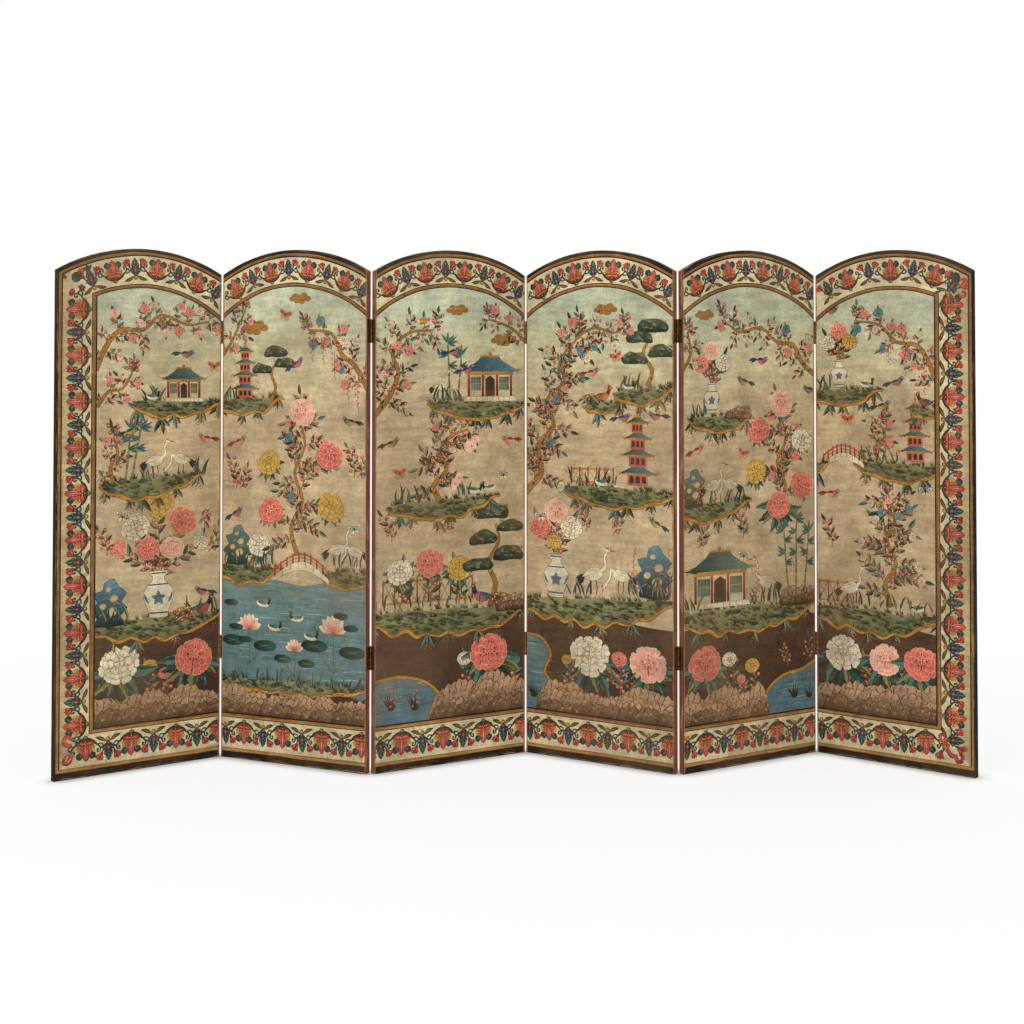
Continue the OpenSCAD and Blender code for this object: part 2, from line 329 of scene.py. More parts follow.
# Garden motifs, drawn with up as up

leafTones = [
    ("tealLight", "teal"), ("teal", "tealDark"), ("oliveLight", "olive"), ("tealLight", "tealDark"),
    ("olive", "oliveDark"),
]


def berry(brush, x, z, radius):
    brush.fill(disc(x, z, radius, radius * 1.05, 9), "red", "salmon", "redDeep", 1.0)
    brush.fill(disc(x - radius * 0.25, z + radius * 0.25, radius * 0.42, count=5), "pink")


def spray(brush, length, bend, leaves, leafLength, berries, wood=3.0, radius=6.5):
    # a twig with leaves and berries on both sides
    chance = brush.sheet.chance
    path = [bowed(length, bend, t) for t in (0, 0.2, 0.4, 0.6, 0.8, 1)]
    brush.stroke(path, [wood, wood * 0.7, wood * 0.4], "bark", rim="barkDark", width=0.5, per=2)
    for i in range(leaves):
        t = 0.12 + 0.88 * (i + 0.5) / leaves
        side = 1 if i % 2 else -1
        x, z = bowed(length, bend, t)
        lean = -math.degrees(math.atan2(bend * 4 * (1 - 2 * t), length))
        light, dark = chance.choice(leafTones)
        if i == leaves - 1:
            side, x, z = 0, 0, length
        size = leafLength * chance.uniform(0.75, 1.1)
        leaf = brush.at(x, z, lean + side * chance.uniform(38, 62))
        twoTone(leaf, size, size * chance.uniform(0.27, 0.36), light, dark,
                bend=size * chance.uniform(-0.09, 0.09), side=-1 if side >= 0 else 1)
    for i in range(berries):
        t = 0.1 + 0.9 * (i + 0.5) / berries
        side = -1 if i % 2 else 1
        x, z = bowed(length, bend, t)
        off = chance.uniform(9, 17)
        bx, bz = x + side * off, z + chance.uniform(0, 9)
        brush.stroke([(x, z - 4), ((x + bx) / 2, z), (bx, bz)], [1.4, 1], "bark", per=1)
        berry(brush, bx, bz, radius * chance.uniform(0.8, 1.1))


def raceme(brush, length, bend):
    # a run of small berries that gets thinner to its tip
    between = brush.sheet.chance.uniform
    count = int(length / 9)
    brush.stroke([bowed(length, bend, t) for t in (0, 0.35, 0.7, 1)], [1.6, 0.9], "barkDark", per=2)
    for i in range(count):
        t = (i + 0.6) / count
        spread = (1 - t) * 11 + 2
        x, z = bowed(length, bend, t)
        x += (spread if i % 2 else -spread) * between(0.5, 1)
        brush.fill(disc(x, z, 4.2 * (1.1 - 0.5 * t), count=7), "red", "salmon")


petalOutline = np.array([
    (0, 0), (0.26, 0.3), (0.5, 0.62), (0.47, 0.88), (0.27, 1.0), (0.1, 0.93), (-0.08, 1.02), (-0.3, 0.97),
    (-0.5, 0.85), (-0.48, 0.6), (-0.24, 0.28),
])
# deep, middle and light tones and that of the petals' edges
bloomTones = {
    "coral": ("redDeep", "red", "salmon", "pink"),
    "rose": ("red", "salmon", "pink", "white"),
    "white": ("whiteDeep", "white", "white", "rimDark"),
    "yellow": ("gold", "yellow", "yellow", "rimDark"),
    "blue": ("blueDark", "blue", "blueLight", "tealLight"),
}


def bloom(brush, radius, tones):
    # rows of petals, each smaller than the last, round a ring of red seeds
    between = brush.sheet.chance.uniform
    deep, middle, light, edge = bloomTones[tones]
    squash = 0.8
    for row in range(3):
        reach = radius * (1 - row * 0.27)
        count = 9 - 2 * row
        for i in range(count):
            angle = 360 * (i + 0.5 * (row % 2)) / count + between(-7, 7)
            a = math.radians(angle)
            base = np.array([-math.sin(a), math.cos(a)]) * reach * 0.32
            petal = petalOutline * [reach * 0.72, reach * 0.66]
            turned = np.stack([petal[:, 0] * math.cos(a) - petal[:, 1] * math.sin(a),
                               petal[:, 0] * math.sin(a) + petal[:, 1] * math.cos(a)], 1)
            brush.fill((turned + base) * [1, squash], middle if row % 2 else deep, light, edge, 1.0)
    brush.fill(disc(0, 0, radius * 0.24, radius * 0.2 * squash), deep, middle, edge, 0.8)
    for i in range(7):
        a = 2 * math.pi * i / 7
        x, z = radius * 0.17 * math.cos(a), radius * 0.15 * squash * math.sin(a)
        brush.fill(disc(x, z, radius * 0.05, count=5), "red")


def petalRing(brush, count, reach, petal, tones, flame):
    # petals side by side all round, each with two flames of the deep tone at its root
    between = brush.sheet.chance.uniform
    deep, middle, light, edge = bloomTones[tones]
    for i in range(count):
        angle = -180 + 360 * (i + 0.5) / count + between(-5, 5)
        a = math.radians(angle)
        base = np.array([-math.sin(a), math.cos(a) * 0.8]) * reach
        b = brush.at(*base, angle, between(0.88, 1.1))
        b.fill(petalOutline * [petal, petal], middle, light, edge, 1.3, run=((0, 0), (0, petal * 0.8)))
        for lean in (-22, 14):
            b.at(0, petal * 0.1, lean).fill(blade(petal * flame, petal * 0.13), deep)


def domeBloom(brush, radius, tones):
    # rings of petals from the outer edge in, each set a little higher than the last, over a full ground
    between = brush.sheet.chance.uniform
    deep, middle, light, edge = bloomTones[tones]
    brush.fill(disc(0, 0, radius * 0.86, radius * 0.8, 12), deep, middle)
    for k, (count, reach, petal) in enumerate(((11, 0.60, 0.52), (9, 0.42, 0.48), (6, 0.22, 0.44))):
        petalRing(brush.at(0, radius * 0.08 * k), count, radius * reach, radius * petal, tones, 0.4)
    heart = brush.at(0, radius * 0.2)
    heart.fill(disc(0, 0, radius * 0.2, radius * 0.17), deep, middle, edge, 1.0)
    petalRing(heart, 4, radius * 0.03, radius * 0.26, tones, 0.3)
    for i in range(11):
        x, z = between(-0.6, 0.6) * radius, between(-0.3, 0.75) * radius
        brush.fill(disc(x, z, radius * 0.035, count=5), "ink" if tones == "white" else "redDeep")


def saw(length, width, bend):
    # a leaf with five teeth on each side
    t = np.linspace(0, 1, 11)
    half = width / 2 * np.sin(np.pi * t ** 0.85) * np.where(np.arange(len(t)) % 2, 1.12, 0.8)
    half[0] = half[-1] = 0
    middle = np.stack(bowed(length, bend, t), 1)
    off = np.stack([half, 0 * half], 1)
    return np.concatenate([middle + off, (middle - off)[-2:0:-1]])


def broadLeaf(brush, length, width, bend, tones, side):
    brush.fill(saw(length, width, bend), tones[1], tones[0], "ink", 1.1)
    brush.fill(blade(length * 0.97, width * 0.8, bend, 0.45, side), "tealDark", tones[1])
    brush.stroke([bowed(length, bend, t) for t in (0.05, 0.35, 0.65, 0.9)], [1.6, 0.5], tones[0], per=1)


def leafFan(brush, count, length, spread):
    # broad leaves that hang below a flower
    between = brush.sheet.chance.uniform
    kinds = (("tealLight", "teal"), ("teal", "tealDark"), ("oliveLight", "olive"))
    for i in range(count):
        angle = 180 + spread * ((i + 0.5) / count - 0.5) + between(-7, 7)
        size = length * between(0.75, 1.1)
        bend = size * between(-0.08, 0.08)
        broadLeaf(brush.at(0, 0, angle), size, size * 0.34 * 0.8, bend, kinds[i % 3], -1 if i % 2 else 1)


def tuft(brush, high, blades, tone, spread):
    # grass that spreads from one root
    between = brush.sheet.chance.uniform
    for i in range(blades):
        lean = (i / (blades - 1) - 0.5) * 2 * spread
        top = high * between(0.65, 1.05) * (1 - 0.35 * abs(lean))
        tip = lean * high * 0.9 + between(-2, 2)
        foot, half = tip * 0.12, high * 0.055
        knee = tip * 0.6 + high * 0.03, top * 0.62
        brush.fill([(foot - half, 0), (foot + half, 0), knee, (tip, top)], tone)


def hanging(brush, high):
    # three leaves and two runs of berries below a bank
    chance = brush.sheet.chance
    for angle in (146, 180, 214):
        light, dark = chance.choice(leafTones)
        size = high * chance.uniform(0.75, 1.1)
        leaf = brush.at(0, 4, angle + chance.uniform(-9, 9))
        twoTone(leaf, size, size * 0.27, light, dark, bend=size * chance.uniform(-0.06, 0.06))
    for side in (-1, 1):
        for i in range(3):
            x, z = side * (5 + 2.5 * i), -high * 0.5 - 9 * i
            brush.fill(disc(x, z, 3.2 - 0.4 * i, count=6), "redDeep", "salmon")


def island(brush, wide, deep, slope, hangers, tufts=1.0):
    # a bank of grass: ragged above, with a wavy ochre rim below
    chance = brush.sheet.chance
    bumps = max(3, int(wide / 80))
    under = [(0, 0)]
    for i in range(2 * bumps):
        t = (i + 0.7) / (2 * bumps + 0.4)
        dip = deep * math.sin(math.pi * min(t * 1.12, 1)) ** 0.6 * (0.82 if i % 2 else 1.0)
        dip *= chance.uniform(0.86, 1.1)
        under.append((t * wide + chance.uniform(-7, 7), t * slope - dip))
    under.append((wide, slope + 4))
    over = []
    for i, rise in enumerate((0.1, 0.2, 0.12, 0.24, 0.16, 0.2, 0.1)):
        t = 0.94 - 0.88 * i / 6
        over.append((wide * t, slope * t + deep * rise))
    lower, upper = curve(under, 3), curve(over, 2)

    def within(x, share):
        # how high the place stands that is this share of the way up through the bank
        low = np.interp(x, lower[:, 0], lower[:, 1]) + 6
        return low + (np.interp(x, upper[::-1, 0], upper[::-1, 1]) - low) * share

    for i in range(hangers):
        x = wide * (i + 0.5 + chance.uniform(-0.3, 0.3)) / hangers
        hanging(brush.at(x, within(x, 0) - 8, chance.uniform(-10, 10)), chance.uniform(34, 54))
    for i in range(int(wide / 11 * tufts)):
        x = wide * chance.uniform(0.05, 0.95)
        high, tone = chance.uniform(12, 30), chance.choice(["grassDark", "moss", "oliveDark"])
        tuft(brush.at(x, within(x, 0.97)), high, 5, tone, 0.5)
    brush.fill(np.concatenate([lower, upper]), "grass", "grassLight", run=((0, -deep), (0, deep * 0.7)))
    mottles = (("moss", "grassLight"), ("grassDark", "moss"), ("olive", "grass"), ("moss", "teal"))
    for i in range(int(wide * deep / 620)):
        x = wide * chance.uniform(0.04, 0.96)
        z = within(x, chance.uniform(0.08, 0.9))
        long = chance.uniform(9, 24)
        patch = []
        for a in np.linspace(0, 5.4, 7):
            across = long * chance.uniform(0.7, 1.1) * math.cos(a)
            patch.append((x + across, z + long * 0.34 * chance.uniform(0.6, 1.1) * math.sin(a)))
        brush.rounded(patch, *mottles[i % 4])
    for i in range(int(wide * deep / 330 * tufts)):
        x = wide * chance.uniform(0.02, 0.98)
        b = brush.at(x, within(x, chance.uniform(0.0, 0.86)))
        if i % 5 == 4:
            tuft(b, chance.uniform(8, 14), 5, "grassLight", 0.9)
        else:
            tuft(b, chance.uniform(12, 24), chance.choice([6, 7, 8]), "grassDark" if i % 3 else "ink", 1.1)
    brush.stroke(under, [4, 8, 12, 7, 10, 6, 11, 8, 4], "rim", "gold", rim="barkDark", width=1.5)
    for i in range(int(wide / 26)):
        x = wide * chance.uniform(0.04, 0.96)
        dash(brush, x, within(x, 0) - 6, chance.uniform(10, 20), 2.4, chance.uniform(-2, 2), "rimDark")


def crag(brush, x0, x1, foot, top, tone, other):
    # one boulder: a knobbed edge lit from above, soft folds below it and small hooked marks
    between = brush.sheet.chance.uniform
    n = max(6, 2 * int((x1 - x0) / 22))
    edge = []
    for i in range(n + 1):
        t = i / n
        rise = (top - foot) * math.sin(math.pi * (0.09 + 0.82 * t)) ** 0.42
        knob = between(3, 7) if i % 2 else -between(1, 4)
        edge.append((x0 + (x1 - x0) * t + between(-2, 2), foot + rise * between(0.97, 1.03) + knob))
    low = foot + (top - foot) * 0.25
    outline = loop([(x0 - 3, foot)] + edge + [(x1 + 3, foot)])
    brush.fill(outline, other, tone, "ink", 1.5, run=((x0, low), (x0 + 10, top)))
    for i in range(1, n):
        x, z = edge[i]
        drop = (z - foot) * between(0.15, 0.5)
        bend = between(5, 12) * (1 if i % 2 else -1)
        brush.stroke([(x, z - 1), (x + bend, z - drop * 0.5), (x + bend * 0.4, z - drop)], [1.0, 2.6, 0.6],
                     "rockDark" if i % 4 else "ink", per=2)
        brush.fill(disc(x + bend, z - drop * 0.7 - 5, (x1 - x0) / n * 0.5, 4.5, 8, between(-30, 30)),
                   "rockPink" if i % 2 else "rock", tone)
    for i in range(int((x1 - x0) * (top - foot) / 190)):
        x = between(x0 + 4, x1 - 4)
        z = foot + (top - foot) * between(0.05, 0.8)
        s = between(2.5, 6.0)
        hook = [(x - s, z), (x, z + s * 0.7), (x + s, z - s * 0.3)]
        brush.stroke(hook, [0.8, s * 0.42, 0.6], ("rockDark", "ground", "ink", "rockDark")[i % 4], per=1)


def rocks(brush, wide, high):
    # a bank of boulders in three rows, the near ones lower
    between = brush.sheet.chance.uniform
    rows = ((1.0, "rockPink", "rock"), (0.72, "rockPink", "rockDark"), (0.4, "rock", "rockDark"))
    for lift, tone, other in rows:
        x = -12.0
        while x < wide - 8:
            span = high * lift ** 0.5 * between(1.0, 1.9)
            top = high * lift * between(0.45, 1.05)
            crag(brush, x, min(x + span, wide + 6), -high * 0.25, top, tone, other)
            x += span * between(0.5, 0.8)


def ripples(brush, x0, x1, z0, z1, count):
    between = brush.sheet.chance.uniform
    tones = ("water", "waterDark", "waterDeep", "water", "waterLight")
    for i in range(count):
        x, z = between(x0, x1), between(z0, z1)
        length = between(20, 110)
        thick = between(0.7, 2.0)
        far, middle = (x + length, z + between(-2, 2)), (x + length * 0.6, z + thick)
        brush.fill([(x, z), (x + length * 0.3, z - thick), far, middle], tones[i % 5])


def cloud(brush):
    lumps = ((0, 0, 20), (22, 9, 18), (-20, 7, 16), (40, -1, 14), (-38, -3, 12), (10, -10, 17),
             (-14, -10, 14))
    for x, z, r in lumps:
        brush.fill(disc(x, z, r, r * 0.72, 11), "bark", rim="barkDark", width=1.2)
    for x, z, r in lumps:
        brush.fill(disc(x, z, r, r * 0.72, 11), "bark", "rim")
        curl = [(x - r * 0.5, z), (x - r * 0.1, z + r * 0.36), (x + r * 0.4, z + r * 0.1),
                (x + r * 0.1, z - r * 0.15)]
        brush.stroke(curl, [1, 1.8, 1], "barkDark", per=2)


def songbird(brush, back="blue", breast="salmon", wing="tealDark"):
    brush.at(-18, 0, 112).fill(blade(38, 9, 2, 0.6), "ink", back, "ink", 0.8)
    brush.at(-16, -1, 124).fill(blade(32, 7, 2, 0.6), wing, back)
    brush.rounded([(-20, -2), (-6, -11), (10, -8), (19, 3), (24, 12), (19, 18), (12, 15), (4, 9), (-8, 6)],
                  breast, back, "ink", 0.9)
    brush.rounded([(12, 8), (17, 6), (24, 11), (22, 18), (15, 18)], back, "blueLight", "ink", 0.8)
    brush.fill([(23, 15), (31, 13), (23, 11)], "gold", rim="ink", width=0.5)
    brush.fill(disc(19.5, 14, 1.5, count=5), "white")
    for i in range(3):
        feather = brush.at(6 - 4 * i, 5 - i, 100 + 6 * i)
        feather.fill(blade(24 - 3 * i, 6.5, 2), wing, "tealLight" if i % 2 else back, "ink", 0.5)
    for foot in ([(2, -9), (3, -16)], [(7, -8), (9, -15)]):
        brush.stroke(foot, [1.6, 1.2], "rimDark", per=1)


def crane(brush, grazing=False):
    for leg in ([(-4, 34), (-5, 16), (-3, 0)], [(7, 35), (11, 17), (9, 0)]):
        brush.stroke(leg, [3, 2.4], "rimDark", per=2)
    for i in range(4):
        brush.at(-22, 46 - i * 2, 118 + 9 * i).fill(blade(30, 8), "ink", "tealDark")
    brush.rounded([(-26, 44), (-10, 32), (12, 34), (26, 46), (22, 58), (6, 62), (-14, 56)],
                  "whiteDeep", "white", "ink", 1)
    for i in range(4):
        feather = brush.at(14 - 6 * i, 54 - i, 104 + 4 * i)
        feather.fill(blade(28, 8, 1), "white", "whiteDeep", "rimDark", 0.6)
    neck, turn = [(20, 52), (33, 66), (30, 84), (38, 100)], 0
    if grazing:
        neck, turn = [(20, 52), (32, 60), (34, 40), (44, 24), (50, 16)], -70
    brush.stroke(neck, [10, 6, 5, 4.5], "white", "white", rim="ink", width=0.9)
    head = brush.at(*neck[-1], turn)
    head.fill(disc(2, 3, 7, 5.5), "white", "whiteDeep", "ink", 0.8)
    head.fill(disc(1, 7, 4, 2.6, 7), "red")
    head.fill([(8, 4), (26, 0), (8, 0)], "rimDark")
    head.fill(disc(4, 3.5, 1.2, count=5), "ink")


def duck(brush, back="tealDark"):
    brush.rounded([(-26, 8), (-18, -2), (0, -6), (18, -3), (24, 6), (12, 10), (-8, 11), (-22, 15)],
                  "white", "whiteDeep", "ink", 0.9)
    brush.rounded([(-24, 12), (-10, 4), (8, 3), (14, 9), (0, 13), (-14, 13)], back, "tealLight")
    brush.stroke([(16, 4), (22, 12), (21, 19)], [9, 7, 6], "tealDark", rim="ink", width=0.7, per=2)
    brush.fill(disc(23, 21, 6, 5), "teal", "tealDark", "ink", 0.7)
    brush.fill([(28, 22), (37, 19), (28, 18)], "gold", rim="rimDark", width=0.5)
    brush.fill(disc(24.5, 22, 1.1, count=5), "white")


def butterfly(brush, tones=("red", "salmon")):
    for b in brush.pair():
        b.rounded([(1, 1), (8, 12), (20, 17), (23, 8), (14, 1)], tones[0], tones[1], "ink", 0.8)
        b.rounded([(1, -1), (12, -2), (16, -10), (8, -15), (3, -8)], tones[1], "yellow", "ink", 0.8)
        b.fill(disc(15, 9, 3, count=6), "blueDark")
        b.stroke([(1, 6), (5, 14), (9, 17)], [1, 0.7], "ink", per=1)
    brush.fill(blade(18, 4, 0, 0.6) + [0, -9], "ink")


def vase(brush, high):
    w = high * 0.34
    right = [(w * 0.55, 0), (w * 0.62, high * 0.1), (w, high * 0.42), (w * 0.92, high * 0.62),
             (w * 0.42, high * 0.8), (w * 0.4, high * 0.9), (w * 0.62, high)]
    left = [(-x, z) for x, z in right[::-1]]
    brush.rounded(left[-1:] + right + left[:-1], "whiteDeep", "white", "blueDark", 1.3)
    for share, wide, tall in ((0.08, 0.6, 0.035), (0.7, 0.66, 0.03), (0.95, 0.5, 0.03)):
        brush.bar(-w * wide, high * share, w * wide, high * (share + tall), "blue")
    for i in range(5):
        brush.at(0, high * 0.42, 72 * i).fill(blade(w * 0.52, w * 0.3), "blue", "blueLight")
    brush.fill(disc(0, high * 0.42, w * 0.12), "red")
    for s in (-1, 1):
        leaf = brush.at(s * w * 0.62, high * 0.3, -s * 25)
        leaf.fill(blade(w * 0.8, w * 0.18, s * 3), "blueLight", "blue")


def lattice(brush, wide, high, cells):
    # a low fence with crossed laths
    for z in (0, high):
        brush.bar(0, z - 2.4, wide, z + 2.4, "rim", "gold", "rimDark", 0.8)
    step = wide / cells
    for i in range(cells + 1):
        x = i * step
        brush.bar(x - 2, -3, x + 2, high + 7, "redDeep", "red", "ink", 0.6)
    for i in range(cells):
        left, right = i * step + 2, i * step + step - 2
        brush.fill([(left, 2), (left + 2, 2), (right, high - 2), (right - 2, high - 2)], "teal")
        brush.fill([(right - 2, 2), (right, 2), (left + 2, high - 2), (left, high - 2)], "teal")
        brush.fill(disc(i * step + step / 2, high / 2, 3.4, count=6), "gold", rim="rimDark", width=0.6)


def roof(brush, wide, high, tone):
    eave = wide / 2
    right = [(eave * 0.7, 0), (eave * 1.12, high * 0.12), (eave * 0.78, high * 0.3),
             (eave * 0.42, high * 0.72), (eave * 0.3, high)]
    left = [(-x, z) for x, z in right[::-1]]
    brush.fill(left[-2:] + right + left[:-2], tone + "Dark", tone + "Light", "ink", 1.1)
    n = int(wide / 13)
    for i in range(1, n):
        t = -1 + 2 * i / n
        low, foot = t * eave * 0.76, high * 0.05
        brush.fill([(low - 0.8, foot), (low + 0.8, foot), (t * eave * 0.3, high * 0.96)], "ink")
    brush.bar(-eave * 0.72, -2, eave * 0.72, 3, "gold", "rim", "rimDark", 0.7)
    brush.bar(-eave * 0.34, high - 2, eave * 0.34, high + 3, "gold", rim="rimDark", width=0.7)
    horn = [(eave * 0.9, high * 0.2), (eave * 1.15, high * 0.16), (eave * 1.22, high * 0.34)]
    for s in (-1, 1):
        brush.at(0, 0, flip=s).stroke(horn, [3, 3.5, 2], "gold", rim="rimDark", width=0.6, per=2)
        brush.fill(disc(s * eave * 1.02, -high * 0.02, 3.2, 4, 6), "red")


def tower(brush, wide, high):
    # four floors, each smaller than the one below
    z = 0
    for k in range(4):
        w = wide * (1 - 0.15 * k)
        h = high * (1 - 0.06 * k)
        wall = w * 0.56
        brush.bar(-wall / 2, z, wall / 2, z + h * 0.6, "red", "salmon", "redDeep", 0.9)
        for s in (-1, 0, 1):
            x, half = s * wall * 0.31, wall * 0.1
            foot, sill, top = z + h * 0.1, z + h * 0.42, z + h * 0.5
            window = [(x - half, foot), (x + half, foot), (x + half, sill), (x, top), (x - half, sill)]
            brush.fill(window, "tealDark" if s else "blueDark")
        roof(brush.at(0, z + h * 0.58), w, h * 0.42, "teal" if k % 2 else "blue")
        z += h
    brush.stroke([(0, z), (0, z + 16), (0, z + 32)], [4, 3, 1.5], "gold", rim="rimDark", width=0.7, per=1)
    brush.fill(disc(0, z + 14, 5), "red", "salmon", "redDeep", 0.7)


def teaHouse(brush, wide, high, tiles="blue"):
    w = wide / 2
    brush.fill([(-w * 1.08, -16), (w * 1.08, -16), (w, 0), (-w, 0)], "whiteDeep", "white", "ink", 1)
    for i in range(9):
        x = -w + wide * i / 9
        brush.bar(x, -15, x + 1.6, -1, "rimDark")
    brush.bar(-w * 0.86, 0, w * 0.86, high * 0.6, "tanDeep", "cream", "ink", 0.9)
    for i in range(3):
        # a door between two windows with bars
        x = -w * 0.86 + wide * 0.86 * i / 3
        a, b = x + 9, x + wide * 0.287 - 9
        if i == 1:
            door = [(a, 0), (b, 0), (b, high * 0.44), ((a + b) / 2, high * 0.53), (a, high * 0.44)]
            brush.fill(door, "ground", "groundDeep")
            continue
        brush.bar(a, high * 0.16, b, high * 0.5, "tealLight", "teal", "rimDark", 0.8)
        for k in range(1, 4):
            c = a + (b - a) * k / 4
            brush.bar(c - 0.8, high * 0.16, c + 0.8, high * 0.5, "gold")
        brush.bar(a, high * 0.32, b, high * 0.34, "gold")
    for i in range(4):
        x = -w * 0.86 + wide * 0.86 * i / 3
        brush.bar(x - 4, 0, x + 4, high * 0.62, "redDeep", "red", "ink", 0.8)
    brush.bar(-w * 0.95, high * 0.56, w * 0.95, high * 0.63, "gold", "rim", "rimDark", 0.8)
    roof(brush.at(0, high * 0.62), wide * 1.12, high * 0.42, tiles)
    brush.fill(disc(0, high * 1.1, 6, 7), "red", "salmon", "redDeep", 0.8)


def footBridge(brush, wide, rise):
    def arch(r, count):
        return [(x, r * math.sin(math.pi * (x / wide))) for x in np.linspace(0, wide, count)]

    top, low = arch(rise, 9), arch(rise * 0.72, 9)
    deck = [(x, z + 6) for x, z in top] + [(x, z - 8) for x, z in low[::-1]]
    brush.fill(deck, "whiteDeep", "white", "ink", 1)
    for x, z in arch(rise, 8)[1:-1]:
        brush.bar(x - 0.8, z - 12, x + 0.8, z + 5, "rimDark")
    brush.stroke([(x, z + 30) for x, z in top], [4.5, 4.5], "red", "salmon", rim="redDeep", width=0.8, per=1)
    brush.stroke([(x, z + 18) for x, z in top], [2.2, 2.2], "gold", rim="rimDark", width=0.6, per=1)
    for x, z in arch(rise, 10):
        brush.bar(x - 2.2, z + 4, x + 2.2, z + 37, "redDeep", "red", "ink", 0.6)


def bamboo(brush, high, lean):
    between = brush.sheet.chance.uniform
    joints = int(high / 34)
    for i in range(joints):
        z0, z1 = high * i / joints, high * (i + 1) / joints
        x0, x1 = lean * z0 / high, lean * z1 / high
        cane = [(x0 - 3, z0 + 1), (x0 + 3, z0 + 1), (x1 + 2.6, z1 - 1), (x1 - 2.6, z1 - 1)]
        brush.fill(cane, "olive", "oliveLight", "oliveDark", 0.6)
        if i > joints * 0.3:
            side = 1 if i % 2 else -1
            for k in range(3):
                leaf = brush.at(x1, z1, side * (60 + 24 * k) + between(-6, 6))
                twoTone(leaf, between(28, 42), 7, "tealLight", "teal", "tealDark", bend=-side * 2)
    for angle in (-40, 0, 40):
        twoTone(brush.at(lean, high, angle), 36, 7.5, "tealLight", "teal", "tealDark")


def lotus(brush, high):
    for s, share in ((-1, 0.5), (1, 0.42)):
        stalk = [(0, 0), (s * high * 0.25, high * share * 0.6), (s * high * 0.38, high * share)]
        brush.stroke(stalk, [2.6, 2], "olive", per=2)
        pad = brush.at(s * high * 0.42, high * share)
        pad.fill(disc(0, 0, high * 0.3, high * 0.12, 12), "tealDark", "teal", "ink", 0.8)
        for i in range(6):
            a = math.radians(30 + 60 * i)
            tip = high * 0.26 * math.cos(a), high * 0.1 * math.sin(a)
            pad.fill([(0, 0.8), (0, -0.8), tip], "tealLight")
    brush.stroke([(0, 0), (3, high * 0.4), (0, high * 0.8)], [3, 2.4], "olive", per=2)
    flower = brush.at(0, high * 0.78)
    for angle in (-72, 72, -45, 45, -20, 20, 0):
        petal = flower.at(0, 0, angle)
        petal.fill(blade(high * 0.34, high * 0.17, 0, 0.55), "salmon", "white", "redDeep", 0.8)


def tree(brush, points, widths):
    brush.stroke(points, widths, "bark", "rim", rim="barkDark", width=1.5)
    path = curve(points, 2)
    between = brush.sheet.chance.uniform
    for i in range(1, len(path) - 1, 2):
        w = np.interp(i / (len(path) - 1), np.linspace(0, 1, len(widths)), widths)
        x, z = path[i]
        brush.fill(disc(x + w * between(-0.2, 0.2), z, w * 0.24, w * 0.34, 6), "barkDark")
        brush.fill(disc(x - w * 0.22, z + w * 0.5, w * 0.14, w * 0.4, 5), "gold")


def pine(brush, points, widths, clumps):
    # a leaning trunk under flat cushions of needles
    tree(brush, points, widths)
    between = brush.sheet.chance.uniform
    for x, z, wide in clumps:
        high = wide * 0.3
        shape = []
        for a in np.linspace(0, 2 * math.pi, 13, endpoint=False):
            across = wide * 0.5 * math.cos(a) * between(0.9, 1.08)
            shape.append((x + across, z + high * max(math.sin(a), -0.35) * between(0.8, 1.15)))
        brush.rounded(shape, "tealDark", "olive", "ink", 1.3, run=((x, z - high * 0.4), (x, z + high * 1.1)))
        for k in range(int(wide / 4)):
            px = x + wide * between(-0.44, 0.44)
            pz = z + high * between(-0.2, 0.75)
            tuft(brush.at(px, pz), wide * 0.15, 5, ("teal", "oliveLight", "tealLight", "ink")[k % 4], 1.0)


def pheasant(brush, back, breast, tail):
    # a standing bird with a long barred tail
    for i, (bend, tone) in enumerate(((14, "gold"), (6, "teal"), (-4, "red"))):
        plume = brush.at(-22, 24, 108 + 8 * i)
        length = tail * (1 - 0.14 * i)
        plume.fill(blade(length, 12, bend, 0.4), tone, "rimDark", "ink", 1.1)
        for k in range(2, 8):
            t = k / 9
            bar = disc(*bowed(length, bend, t), 3.4 * (1 - t * 0.6), 2.0, 6)
            plume.fill(bar, "ink" if k % 2 else "white")
    for x in (0, 9):
        brush.stroke([(x, 12), (x + 1, 0), (x + 8, -1)], [2.6, 2], "rimDark", per=1)
    brush.rounded([(-30, 24), (-16, 8), (4, 6), (22, 16), (30, 36), (24, 44), (12, 36), (-6, 34)], breast,
                  back, "ink", 1.2, run=((20, 8), (-10, 36)))
    for i in range(4):
        feather = brush.at(6 - 5 * i, 30 - i, 104 + 5 * i)
        feather.fill(blade(34 - 3 * i, 9, 2), back, "tealLight" if i % 2 else "gold", "ink", 0.8)
    brush.rounded([(20, 34), (30, 32), (34, 46), (40, 54), (34, 62), (25, 58), (22, 46)],
                  "blueDark", back, "ink", 1)
    for lean in (20, 45, 70):
        brush.at(30, 60, lean).fill(blade(15, 4), "red", "gold")
    brush.fill([(38, 57), (49, 53), (38, 52)], "gold", rim="ink", width=0.6)
    brush.fill(disc(33, 55, 2.0, count=6), "white", rim="red", width=1)


